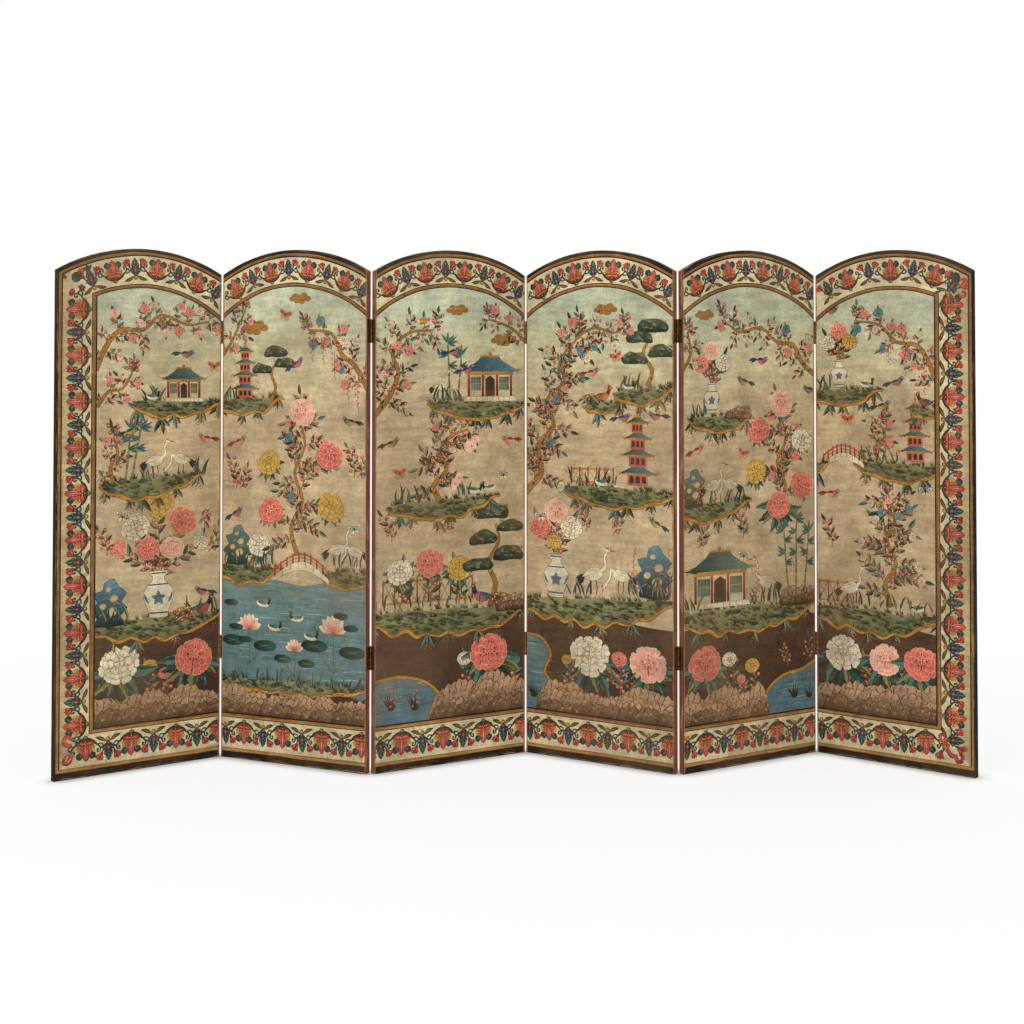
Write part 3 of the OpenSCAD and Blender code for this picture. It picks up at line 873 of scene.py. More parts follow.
def standingStone(brush, high, tone):
    # a hollow garden stone
    w = high * 0.42
    edge = ((-0.7, 0), (0.8, 0), (0.62, 0.2), (1, 0.36), (0.66, 0.5), (0.95, 0.68), (0.5, 0.84), (0.3, 1),
            (-0.2, 0.93), (-0.3, 0.76), (-0.8, 0.7), (-0.55, 0.5), (-1, 0.34), (-0.6, 0.18))
    body = [(w * x, high * z) for x, z in edge]
    brush.rounded(body, tone + "Dark", tone + "Light", "ink", 1.6, run=((0, 0), (0, high)))
    for x, z, r in ((0.2, 0.3, 0.2), (-0.3, 0.42, 0.13), (0.3, 0.58, 0.16), (0, 0.78, 0.1)):
        brush.fill(disc(w * x, high * z, w * r * 1.3, w * r, 9, 20), "skyLow", "tan", "gold", 2.2)
    for x, z in ((-0.35, 0.2), (0.45, 0.44), (-0.1, 0.56), (0.1, 0.14)):
        vein = [(w * (x - 0.2), high * z), (w * x, high * (z + 0.05)), (w * (x + 0.22), high * (z - 0.01))]
        brush.stroke(vein, [1, 3, 1], "gold", per=2)


def boughs(brush, points, widths, pitch, reach, tones, share, leaf):
    # a trunk with twigs on both sides, each ending in a leaf and some in a bloom
    tree(brush, points, widths)
    chance = brush.sheet.chance
    path = curve(points, 6)
    run = np.concatenate([[0], np.cumsum(np.linalg.norm(np.diff(path, axis=0), axis=1))])
    length = run[-1]
    flowers, side = [], 1
    for s in np.arange(length * 0.08, length, pitch):
        x, z = np.interp(s, run, path[:, 0]), np.interp(s, run, path[:, 1])
        ahead = np.interp(s + 5, run, path[:, 0]) - x, np.interp(s + 5, run, path[:, 1]) - z
        heading = -math.degrees(math.atan2(ahead[0], max(ahead[1], -50) if any(ahead) else 1))
        long = reach * chance.uniform(0.65, 1.15) * (1 - 0.35 * s / length)
        turn = heading + side * chance.uniform(38, 78)
        twig = brush.at(x, z, turn)
        bend = long * chance.uniform(0.02, 0.12) * side
        spray(twig, long, bend, max(3, int(long / 13)), leaf, int(long / 11), 2.4, 4.6)
        if chance.random() < share:
            place = twig.at(0, long * chance.uniform(0.8, 1.05))
            flowers.append((place, chance.uniform(12, 19), chance.choice(tones)))
        side = -side
    spray(brush.at(*path[-1], chance.uniform(-30, 30)), reach * 0.7, 4, 7, leaf, 5, 2.4, 5.6)
    for twig, radius, tone in flowers:
        bloom(twig, radius, tone)


def grasses(brush, wide, high, count):
    # long arching blades that show against the ground
    chance = brush.sheet.chance
    for i in range(count):
        x = wide * (i + chance.uniform(0.1, 0.9)) / count
        lean = chance.uniform(-34, 34)
        long = high * chance.uniform(0.6, 1.1)
        light, dark = chance.choice(leafTones)
        bend = long * 0.07 * (1 if lean > 0 else -1)
        twoTone(brush.at(x, 0, lean), long, long * 0.11, light, dark, bend=bend, fat=0.36)


def arcPoint(angle, radius):
    # on an arch about the middle of the leaf's own, at so many degrees from the top
    a = math.radians(angle)
    return leafWide / 2 + radius * math.sin(a), archMiddle + radius * math.cos(a)


def arcRun(x0, x1, radius, steps=20):
    ends = [math.asin(max(-1, min(1, (x - leafWide / 2) / radius))) for x in (x0, x1)]
    return [(leafWide / 2 + radius * math.sin(a), archMiddle + radius * math.cos(a))
            for a in np.linspace(*ends, steps)]


# millimetres: where the black, the ochre and its line end at the outer side of the first and the last leaf
outerSide = {1: (5.5, 14.0, 18.2), leafCount: (4.0, 11.5, 15.8)}
innerDrop = {1: 7.0, leafCount: 9.0}  # the inner arch hangs a little lower on these two
bandRun = ((0, 30), (0, 420))  # the bands darken from the foot up to here


def strip(brush, leaf, arch, side, bottom, colour, other=None):
    # one band of the frame, from its outer to its inner inset
    def top(k):
        x0 = side[k] if leaf == 1 else -4
        x1 = leafWide - side[k] if leaf == leafCount else leafWide + 4
        return arcRun(x0, x1, archRadius - arch[k])

    foot = [(-4, bottom[0]), (leafWide + 4, bottom[0]), (leafWide + 4, bottom[1]), (-4, bottom[1])]
    if leaf not in outerSide:
        brush.fill(top(0) + top(1)[::-1], colour, other, run=bandRun)
        brush.fill(foot, colour, other, run=bandRun)
        return
    outer, inner = top(0), top(1)
    if leaf == 1:
        outer = outer[::-1] + [(side[0], bottom[0]), (leafWide + 4, bottom[0])]
        inner = inner[::-1] + [(side[1], bottom[1]), (leafWide + 4, bottom[1])]
    else:
        outer = outer + [(leafWide - side[0], bottom[0]), (-4, bottom[0])]
        inner = inner + [(leafWide - side[1], bottom[1]), (-4, bottom[1])]
    brush.fill(outer + inner[::-1], colour, other, run=bandRun)


def frameBands(leaf):
    # colours low and high, insets from the arch, from the outer side and from the floor
    black, ochre, line = outerSide.get(leaf, (0, 0, 0))
    drop = innerDrop.get(leaf, 0)
    inner = ("worn", "worn") if leaf == 4 else ("ochre", "ochreDeep")
    return (
        ("cream", "cream", (21, 112 + drop), (line - 1.5, 117), (33, 140)),
        ("line", "line", (108.5 + drop, 123 + drop), (113.5, 132), (135.5, 153)),
        (*inner, (111.5 + drop, 119.5 + drop), (116.5, 127), (138, 147.5)),
        ("line", "line", (18, 24.6), (ochre - 2, line), (33, 34.6)),
        ("ochre", "ochreDeep", (10.5, 19.6), (black - 1.5, ochre), (21, 33.5)),
        ("black", "black", (-6, 12), (-6, black), (-6, 23)),
    )


# Millimetres, and degrees along the arch: where the first palmette stands on each leaf, the step to the
# next one, and how far in the palmettes and the flowers halfway between them stand
borderPlan = {
    "foot": {"first": (103, 94, 100, 92, 89, 92), "pitch": 152.0, "palmette": 87, "flower": 88},
    "arch": {"first": (-11.3, -28, -29, -28, -28, -19.1), "pitch": 17.3, "wider": {leafCount: 1.4},
             "palmette": 65, "flower": 70, "size": 0.93},
    "side": {"first": {1: 169, leafCount: 183}, "pitch": 147.2, "palmette": {1: 68.5, leafCount: 497},
             "flower": {1: 74, leafCount: 490}},
}


def spaced(first, pitch, low, high):
    # every place from low to high that is a whole number of steps from the first
    return np.arange(first + pitch * math.ceil((low - first) / pitch), high, pitch)


def put(base, drawing, x, z, angle, size=1.0, **more):
    # set down by hand, a little off its place, its turn and its size
    between = base.sheet.chance.uniform
    x, z, angle = x + between(-1.5, 1.5), z + between(-1.5, 1.5), angle + between(-2.5, 2.5)
    drawing(base.at(x, z, angle, size * between(0.97, 1.03)), **more)


def border(sheet, leaf):
    # the motifs along the foot, the arch and the outer side; the outer corners have motifs of their own
    base = Brush(sheet)
    first, last = leaf == 1, leaf == leafCount
    plan, n = borderPlan["foot"], 0
    start, pitch = plan["first"][leaf - 1], plan["pitch"]
    low, high = 85 if first else 8, 430 if last else 562
    for x in spaced(start, pitch, low, high):
        put(base, palmette, x, plan["palmette"], 180)
    for x in spaced(start + pitch / 2, pitch, low, high):
        put(base, borderFlower, x, plan["flower"], 180, blue=bool(n % 2))
        n += 1
    plan = borderPlan["arch"]
    start, pitch, size = plan["first"][leaf - 1], plan["pitch"] + plan["wider"].get(leaf, 0), plan["size"]
    low, high = -14 if first else -30, 22 if last else 33
    for a in spaced(start, pitch, low, high - 2):
        put(base, palmette, *arcPoint(a, archRadius - plan["palmette"]), -a, size)
    for a in spaced(start + pitch / 2, pitch, low, high):
        put(base, borderFlower, *arcPoint(a, archRadius - plan["flower"]), -a, size, blue=bool(n % 3))
        n += 1
    if leaf in outerSide:
        plan = borderPlan["side"]
        start, pitch, turn = plan["first"][leaf], plan["pitch"], 90 if first else -90
        for z in spaced(start, pitch, 160, 1530):
            put(base, palmette, plan["palmette"][leaf], z, turn)
        for z in spaced(start + pitch / 2, pitch, 200 if first else 100, 1460):
            put(base, borderFlower, plan["flower"][leaf], z, turn, blue=bool(n % 3))
            n += 1
    if first:
        leftCorners(base)
    if last:
        rightCorners(base)


def leftCorners(base):
    put(base, borderFlower, 113.5, 1588.5, 19.8)
    put(base, hookBud, 43, 124, 0)
    put(base, eggBud, 43, 62, -40)
    base.stroke([(62, 118), (72, 132), (84, 126), (80, 114)], [3, 4.5, 4], "teal", rim="tealDark", width=0.8)
    lump = [(-16, -8), (0, -14), (16, -6), (14, 10), (0, 16), (-14, 8)]
    base.at(63, 1597, 30).rounded(lump, "teal", "tealDark", "ink")
    base.at(77, 1618, 40).fill(disc(0, 0, 12, 9), "redDeep", "salmon", "redDeep")
    base.at(47, 1548, 60).fill(disc(0, 0, 12, 8), "redDeep", "red", "redDeep")
    base.at(30, 1592, 60).fill(blade(24, 10), "redDeep", "red", "redDeep")
    for a in (-50, 0, 50):
        base.at(101, 1622, 24 + a).fill(blade(20, 9), "teal", "tealDark", "ink", 0.8)
    for a in (0, 72, 144, 216, 288):
        base.at(80, 1563, a).fill(blade(13, 9, 0, 0.6), "blueDark", "teal", "ink", 0.6)
    base.fill(disc(80, 1563, 4.5), "red", "redDeep")


def rightCorners(base):
    put(base, borderFlower, 495, 1567, -42)
    lump = [(-14, -8), (0, -12), (14, -6), (12, 9), (0, 14), (-12, 8)]
    base.at(507, 1600, -30).rounded(lump, "teal", "tealDark", "ink")
    base.at(482, 1608, 20).fill(disc(0, 0, 9, 12), "redDeep", "salmon", "redDeep")
    hookBud(base.at(534, 1583, -20, 0.8, -1))
    hookBud(base.at(534, 1544, -60, 0.7, -1))
    for x, z, a in ((457, 1554, 110), (471, 1533, 150)):
        base.at(x, z, a).fill(blade(30, 8, 2), "olive", "oliveDark", "ink", 0.6)
    hook = [(476, 96), (470, 78), (484, 60), (500, 58), (503, 44), (518, 46), (522, 62), (511, 68)]
    base.stroke(hook, [8, 13, 14, 12, 12, 11, 8], "red", "redDeep", rim="redDeep")
    base.stroke([(474, 88), (478, 68), (494, 55), (504, 50)], [1.5, 3.5, 3.5, 1.5], "salmon")
    hookBud(base.at(455, 114, 20, 0.8))
    base.at(470, 78, 60).fill(blade(26, 11, 2), "gold", "rimDark", "rimDark")
    trumpet(base.at(446, 58, 160, 0.9))
    base.fill(disc(530, 87, 8, 7), "redDeep", "salmon", "redDeep")


def wornLines(sheet, leaf):
    # long rubs and small chips that run with the painted lines of the frame: inset, colour and width
    base, chance = Brush(sheet), sheet.chance
    corner = 150  # the lines of the inner foot end this far from an outer side
    footLines = ((2, "worn", 1.3), (9, "ground", 1.5), (16, "ground", 1.2), (29, "gold", 3.0),
                 (23, "darkOchre", 2.2), (26, "gold", 2.4), (141, "gold", 2.2), (145, "darkOchre", 2.0),
                 (4, "creamDeep", 1.0))
    for i in range(130):
        inset, colour, width = footLines[i % len(footLines)]
        long = chance.uniform(10, 90) if inset < 140 else chance.uniform(8, 40)
        x = chance.uniform(0, leafWide)
        if leaf == 1 and inset > 30:
            x = max(x, corner)
        if leaf == leafCount and inset > 30:
            x = min(x, leafWide - corner - long)
        width *= chance.uniform(0.6, 1.2)
        dash(base, x + long, inset, long, width, chance.uniform(-0.6, 0.6), colour)
    drop = innerDrop.get(leaf, 0)
    archLines = ((1.5, "worn", 1.5), (6, "ground", 1.2), (13, "gold", 2.2), (17, "darkOchre", 2.4),
                 (113 + drop, "gold", 1.8), (117 + drop, "darkOchre", 2.0))
    for i in range(70):
        inset, colour, width = archLines[i % len(archLines)]
        x = chance.uniform(20, leafWide - 90)
        run = arcRun(x, x + chance.uniform(12, 70), archRadius - inset, 5)
        base.fill(ribbon(run, [0.3, width * chance.uniform(0.6, 1.2), 0.3]), colour)
    if leaf in outerSide:
        black, ochre, _ = outerSide[leaf]
        sideLines = ((2, "worn", 1.6), (black + 2, "gold", 1.8), (ochre - 2, "darkOchre", 2.2),
                     (118, "gold", 1.8), (124, "darkOchre", 2.0))
        for i in range(75):
            inset, colour, width = sideLines[i % len(sideLines)]
            x = inset if leaf == 1 else leafWide - inset
            rub = blade(chance.uniform(14, 90), width, chance.uniform(-0.6, 0.6))
            base.fill(rub + [x, chance.uniform(150, 1490)], colour)


def creases(sheet, leaf):
    # dirt and old varnish gathered beside the frame's lines and the leaves of the border
    base, chance = Brush(sheet), sheet.chance
    if leaf in outerSide:
        near, far = (17, 117) if leaf == 1 else (leafWide - 14, leafWide - 117)
        side = [(near, 30), (far, 150), (far, 1520), (near, 1650)]
        base.fill(side, "creamDeep", "cream", run=((near, 0), (far, 0)))
    for i in range(160):
        x, z = chance.uniform(0, leafWide), chance.uniform(40, 134)
        spot = disc(x, z, chance.uniform(2, 7), chance.uniform(1, 2.6), 7, chance.uniform(0, 180))
        base.fill(spot, "creamDeep" if i % 3 else "tanDeep")
        if leaf in outerSide:
            x = chance.uniform(26, 112)
            x = x if leaf == 1 else leafWide - x
            spot = disc(x, chance.uniform(60, 1560), chance.uniform(1.5, 5), chance.uniform(2, 7), 7)
            base.fill(spot, "creamDeep")


def drawFrame(sheet, leaf):
    base = Brush(sheet)
    for i, (colour, other, arch, side, bottom) in enumerate(frameBands(leaf)):
        strip(base, leaf, arch, side, bottom, colour, other)
        # the motifs go over the cream and the inner lines and under the outer ones
        if i == 0:
            creases(sheet, leaf)
        if i == 2:
            border(sheet, leaf)
    wornLines(sheet, leaf)


# millimetres above the floor, with the colour there
skyStops = ((1720, "sky"), (1500, "sky"), (1380, "skyMid"), (1250, "skyLow"), (1110, "tan"), (520, "tan"),
            (-4, "tanDeep"))


def backdrop(brush):
    for (high, upper), (low, lower) in zip(skyStops, skyStops[1:]):
        brush.bar(-4, low, 570, high, lower, upper, run=((0, low), (0, high)))


def soil(brush, tops):
    # the dark bed at the foot of the picture, its edge rimmed with ochre
    left, right, foot = -6, 576, 100
    edge = curve([(left + (right - left) * i / (len(tops) - 1), z) for i, z in enumerate(tops)], 5)
    bed = np.concatenate([[(left, foot), (right, foot)], edge[::-1]])
    brush.fill(bed, "groundDeep", "ground", run=((0, 140), (0, 400)))
    between = brush.sheet.chance.uniform
    for i in range(60):
        x, z = between(0, 564), between(170, min(tops) - 14)
        dash(brush, x, z, between(14, 44), 3, between(-3, 3), "groundDeep" if i % 3 else "rockDark")


def shore(brush, points):
    brush.stroke(points, [6, 10, 7, 11, 7], "rim", "gold", rim="rimDark", width=1.3)


def footRocks(brush, x0=-10, x1=574, high=104):
    rocks(brush.at(x0, 164), x1 - x0, high)


def pond(brush, points, ripplesIn, count):
    brush.fill(curve(points), "waterDeep", "water", run=((0, 150), (0, 560)))
    ripples(brush, *ripplesIn, count)


def peony(brush, radius, tones, fan=10, reach=2.0):
    # a great flower over a skirt of leaves
    leafFan(brush.at(0, -radius * 0.15), fan, radius * reach, 190)
    domeBloom(brush, radius, tones)


def leaningBlooms(brush, length, blooms):
    # great flowers in a tree, each tilted and with leaves behind it
    for x, z, radius, tones, angle in blooms:
        leafFan(brush.at(x, z, angle), 8, length, 150)
        domeBloom(brush.at(x, z, angle), radius, tones)


def bouquet(brush, pot, stalks, blooms):
    # a vase, its stalks and its flowers
    for lean, reach, count in stalks:
        bend = reach * 0.03 * (1 if lean > 0 else -1)
        spray(brush.at(0, pot * 0.9, lean), reach, bend, count, 40, count - 2, 3.2, 6.4)
    for x, z, radius, tones in blooms:
        domeBloom(brush.at(x, z, -x * 0.25), radius, tones)
    vase(brush, pot)


def stems(brush, spots):
    # flowers on leafy stems that rise from the ground
    for x, low, high, radius, tones in spots:
        spray(brush.at(x, low, brush.sheet.chance.uniform(-10, 10)), high - low, 7, 9, 42, 7)
        bloom(brush.at(x, high), radius, tones)


def flutter(brush, spots):
    # small winged things here and there
    kinds = (
        (songbird, {}),
        (butterfly, {}),
        (songbird, {"back": "teal", "breast": "yellow"}),
        (butterfly, {"tones": ("blue", "white")}),
        (songbird, {"back": "red", "breast": "pink", "wing": "redDeep"}),
    )
    for i, (x, z, flip) in enumerate(spots):
        kind, colours = kinds[(i * 2 + x) % len(kinds)]
        kind(brush.at(x, z, brush.sheet.chance.uniform(-15, 15), 1.0, flip), **colours)


def sprigs(brush, spots):
    # loose twigs of berries on the open ground of the picture
    for x, z, angle, reach in spots:
        leaves, berries = max(4, int(reach / 13)), int(reach / 11)
        spray(brush.at(x, z, angle), reach, reach * 0.1, leaves, 30, berries, 2.2, 5.4)


def leafOne(b):
    soil(b, [442, 454, 472, 458, 466, 482, 474])
    stems(b, ((318, 210, 330, 26, "yellow"), (370, 215, 300, 22, "coral")))
    peony(b.at(214, 344, 6), 62, "white")
    peony(b.at(470, 344, -8), 60, "coral")
    footRocks(b, 90)
    island(b.at(100, 470), 500, 66, 12, 4)
    standingStone(b.at(176, 474), 150, "blue")
    grasses(b.at(140, 486), 110, 66, 7)
    bouquet(b.at(346, 486), 150, ((28, 190, 10), (-28, 190, 10), (3, 230, 12), (56, 150, 8), (-56, 150, 8)),
            ((-82, 300, 44, "white"), (84, 312, 44, "coral"), (0, 372, 46, "yellow"),
             (-38, 228, 36, "coral"), (46, 226, 36, "rose"), (-140, 236, 26, "coral"), (148, 240, 26, "white")))
    grasses(b.at(430, 490), 130, 60, 8)
    pheasant(b.at(500, 484), "teal", "red", 130)
    sprigs(b, ((170, 700, 20, 90), (520, 690, -24, 90), (530, 840, 160, 70)))
    island(b.at(140, 925), 370, 60, 22, 6)
    boughs(b, [(190, 935), (180, 985), (204, 1030), (190, 1080)], [13, 10, 7, 3],
           24, 62, ("coral", "white"), 0.5, 26)
    for x, lean in ((232, 16), (252, 30)):
        bamboo(b.at(x, 940), 170, lean)
    crane(b.at(330, 946, 0, 1.15))
    crane(b.at(426, 952, 0, 1.1, -1), True)
    grasses(b.at(280, 940), 50, 54, 5)
    grasses(b.at(470, 950), 44, 60, 5)
    island(b.at(240, 1190), 340, 50, -6, 5)
    teaHouse(b.at(430, 1206, 0, 0.8), 160, 120, "teal")
    grasses(b.at(300, 1200), 50, 60, 6)
    duck(b.at(322, 1206, 0, 0.9))
    boughs(b, [(128, 1300), (160, 1372), (210, 1430), (290, 1430), (350, 1480), (440, 1450), (520, 1462)],
           [18, 15, 12, 9, 7, 5, 3], 26, 76, ("white", "coral", "rose"), 0.75, 26)
    boughs(b, [(132, 1180), (170, 1230), (220, 1240), (250, 1290)], [11, 8, 6, 3],
           26, 60, ("coral",), 0.5, 26)
    flutter(b, ((440, 1352, 1), (250, 1100, 1), (510, 1070, -1), (540, 1310, -1), (220, 820, 1),
                (500, 560, -1)))


def leafTwo(b):
    soil(b, [290, 284, 300, 296, 306, 300, 296])
    pond(b, [(-6, 258), (90, 250), (200, 266), (320, 250), (450, 264), (572, 250), (572, 596), (440, 610),
             (330, 590), (200, 604), (100, 596), (-6, 610)], (-20, 520, 268, 590), 180)
    island(b.at(-70, 262), 720, 36, 4, 0, 1.2)
    footRocks(b, high=92)
    grasses(b.at(0, 262), 564, 54, 22)
    lotus(b.at(112, 320), 150)
    lotus(b.at(440, 312), 170)
    lotus(b.at(290, 290), 110)
    for i, (x, z, s) in enumerate(((214, 440, 1), (300, 476, -1), (356, 420, 1), (170, 516, 1))):
        duck(b.at(x, z, 0, 1.05, s), "rimDark" if i % 2 else "tealDark")
    for x, z in ((60, 440), (508, 462), (470, 500), (96, 400), (40, 520)):
        b.fill(disc(x, z, 28, 10, 11), "tealDark", "teal", "ink", 1.2)
    island(b.at(-50, 640), 300, 56, -8, 0)
    island(b.at(390, 626), 240, 54, 18, 0)
    footBridge(b.at(214, 610), 210, 54)
    standingStone(b.at(60, 650), 130, "teal")
    peony(b.at(150, 716), 38, "white", 8, 1.8)
    crane(b.at(452, 656, 0, 1.25))
    crane(b.at(524, 660, 0, 1.1, -1), True)
    grasses(b.at(0, 650), 220, 56, 10)
    grasses(b.at(420, 660), 140, 50, 6)
    boughs(b, [(300, 690), (276, 780), (322, 870), (290, 960), (330, 1050), (306, 1140)],
           [15, 12, 10, 8, 6, 3], 27, 110, ("coral", "blue"), 0.25, 34)
    leaningBlooms(b, 62, ((196, 830, 44, "coral", 24), (430, 850, 46, "yellow", -24),
                          (190, 990, 40, "yellow", 20), (424, 1020, 46, "coral", -20),
                          (316, 1160, 44, "rose", 0)))
    for x, z in ((60, 900), (520, 950)):
        sprigs(b, ((x, z, 15, 100), (x + 10, z, -25, 80)))
    island(b.at(-40, 1190), 290, 54, 10, 4)
    tower(b.at(92, 1208, 0, 0.92), 112, 50)
    pine(b, [(196, 1196), (214, 1240), (196, 1290), (226, 1330)], [12, 9, 7, 4],
         ((160, 1296, 80), (252, 1316, 84), (214, 1352, 90)))
    grasses(b.at(0, 1200), 60, 50, 6)
    boughs(b, [(572, 1230), (524, 1310), (470, 1352), (430, 1420), (340, 1430)], [17, 14, 11, 8, 4], 27, 74,
           ("blue", "coral", "white"), 0.7, 26)
    for x, z, k in ((498, 1310, 120), (446, 1370, 104), (404, 1406, 92), (360, 1410, 86), (534, 1270, 110)):
        raceme(b.at(x, z, 180), k, 4)
    cloud(b.at(126, 1440, 0, 1.05))
    cloud(b.at(306, 1536, 0, 0.8))
    boughs(b, [(-6, 1340), (40, 1400), (90, 1500)], [10, 7, 3], 26, 60, ("coral", "white"), 0.5, 26)
    flutter(b, ((300, 1320, 1), (500, 1130, -1), (70, 1060, 1), (250, 1480, 1), (520, 780, -1),
                (60, 820, 1)))


def leafThree(b):
    soil(b, [472, 466, 450, 454, 478, 466, 460])
    pond(b, [(-6, 290), (90, 296), (190, 270), (250, 206), (262, 150), (-6, 150)], (-20, 170, 176, 284), 60)
    shore(b, [(-6, 294), (84, 300), (186, 276), (250, 212), (264, 160)])
    tuft(b.at(60, 196), 70, 9, "grassDark", 0.6)
    tuft(b.at(146, 186), 60, 8, "grassDark", 0.6)
    raceme(b.at(64, 204), 80, 3)
    raceme(b.at(150, 196), 70, -3)
    stems(b, ((330, 215, 340, 28, "white"), (516, 215, 316, 26, "blue")))
    peony(b.at(424, 352, 0), 62, "coral")
    footRocks(b, 224, 574, 128)
    island(b.at(-40, 500), 660, 84, -14, 5)
    lattice(b.at(30, 540), 330, 70, 8)
    for x, z, r, t in ((90, 640, 42, "white"), (200, 664, 46, "coral"), (310, 640, 42, "yellow")):
        spray(b.at(x, 520, (x - 200) * 0.06), 140, 6, 10, 46, 6)
        leafFan(b.at(x, z - 6), 10, 66, 190)
        domeBloom(b.at(x, z), r, t)
    pine(b, [(430, 510), (450, 580), (420, 650), (462, 720), (450, 780)], [20, 16, 12, 9, 5],
         ((380, 640, 110), (500, 668, 116), (400, 726, 110), (506, 764, 100), (440, 812, 130)))
    pheasant(b.at(398, 516, 0, 1.1, -1), "blue", "salmon", 120)
    rocks(b.at(470, 500), 110, 46)
    grasses(b.at(0, 520), 400, 54, 14)
    sprigs(b, ((60, 740, 20, 90), (250, 760, -20, 90)))
    island(b.at(40, 850), 430, 58, 20, 6)
    boughs(b, [(236, 866), (214, 920), (262, 968), (236, 1030), (286, 1084), (340, 1100)],
           [19, 16, 13, 10, 7, 3], 23, 104, ("coral", "white", "rose"), 0.6, 34)
    duck(b.at(370, 892, 0, 1.1))
    duck(b.at(424, 898, 0, 1.0, -1), "rimDark")
    grasses(b.at(70, 870), 110, 58, 8)
    grasses(b.at(300, 880), 60, 50, 5)
    island(b.at(190, 1190), 400, 56, -12, 6)
    teaHouse(b.at(428, 1210), 190, 130)
    bamboo(b.at(276, 1200), 190, -10)
    bamboo(b.at(306, 1200), 150, 12)
    crane(b.at(236, 1204, 0, 0.9))
    grasses(b.at(200, 1200), 130, 52, 8)
    boughs(b, [(-6, 1150), (50, 1210), (84, 1290), (60, 1360), (120, 1420), (210, 1430)],
           [19, 16, 13, 10, 7, 3], 25, 88, ("coral", "yellow", "white"), 0.7, 28)
    cloud(b.at(478, 1400, 0, 0.95))
    cloud(b.at(300, 1500, 0, 0.8))
    boughs(b, [(572, 1390), (510, 1440), (420, 1470)], [9, 7, 3], 26, 56, ("coral",), 0.5, 24)
    flutter(b, ((290, 1360, 1), (60, 1060, 1), (500, 1060, -1), (90, 960, 1), (480, 940, -1),
                (340, 1300, 1)))


def leafFour(b):
    soil(b, [466, 472, 492, 486, 472, 462, 458])
    pond(b, [(-6, 396), (54, 388), (92, 340), (66, 282), (106, 232), (76, 150), (-6, 150)],
         (-30, 30, 170, 380), 48)
    shore(b, [(-6, 402), (60, 394), (98, 340), (72, 280), (112, 230), (82, 160)])
    tuft(b.at(30, 190), 64, 8, "grassDark", 0.6)
    peony(b.at(250, 350), 68, "white")
    peony(b.at(470, 340), 60, "rose")
    stems(b, ((160, 220, 330, 20, "yellow"), (362, 215, 350, 28, "coral")))
    sprigs(b, ((370, 260, 60, 60), (350, 260, -60, 60)))
    footRocks(b, 66, 574)
    island(b.at(-40, 512), 660, 78, 28, 5)
    bouquet(b.at(118, 536), 140, ((26, 150, 9), (-26, 150, 9), (2, 180, 10)),
            ((-62, 232, 38, "coral"), (62, 236, 38, "white"), (0, 290, 40, "rose"), (-6, 186, 26, "yellow")))
    crane(b.at(262, 554, 0, 1.45))
    crane(b.at(372, 562, 0, 1.3, -1), True)
    standingStone(b.at(488, 560), 170, "blue")
    grasses(b.at(170, 548), 90, 60, 7)
    grasses(b.at(400, 560), 160, 80, 12)
    raceme(b.at(424, 572), 150, -8)
    raceme(b.at(548, 572), 150, -6)
    sprigs(b, ((240, 760, 20, 90), (340, 750, -10, 100)))
    island(b.at(140, 905), 450, 62, -16, 6)
    tower(b.at(432, 922, 0, 1.1), 122, 56)
    lattice(b.at(180, 926), 160, 44, 5)
    grasses(b.at(170, 916), 190, 60, 9)
    duck(b.at(300, 920, 0, 1.1))
    boughs(b, [(-6, 880), (60, 950), (46, 1040), (110, 1110), (86, 1200), (152, 1260), (140, 1340),
               (210, 1410)], [23, 20, 17, 14, 11, 8, 6, 3], 24, 118, ("coral", "blue", "white"), 0.6, 34)
    pheasant(b.at(300, 1190, 0, 0.9), "red", "gold", 90)
    island(b.at(230, 1180), 150, 34, 6, 2)
    island(b.at(340, 1222), 250, 46, 18, 4)
    pine(b, [(470, 1246), (486, 1300), (452, 1350), (476, 1400)], [15, 12, 9, 5],
         ((420, 1330, 96), (520, 1352, 96), (440, 1400, 100), (490, 1436, 110)))
    grasses(b.at(360, 1234), 80, 56, 7)
    duck(b.at(400, 1240, 0, 0.9))
    cloud(b.at(310, 1500, 0, 0.85))
    boughs(b, [(200, 1410), (270, 1440), (340, 1420), (380, 1440)], [7, 6, 4, 3],
           24, 60, ("coral", "white"), 0.5, 26)
    flutter(b, ((380, 1140, 1), (500, 800, -1), (260, 1290, 1), (350, 1340, -1), (60, 800, 1),
                (500, 1150, -1)))


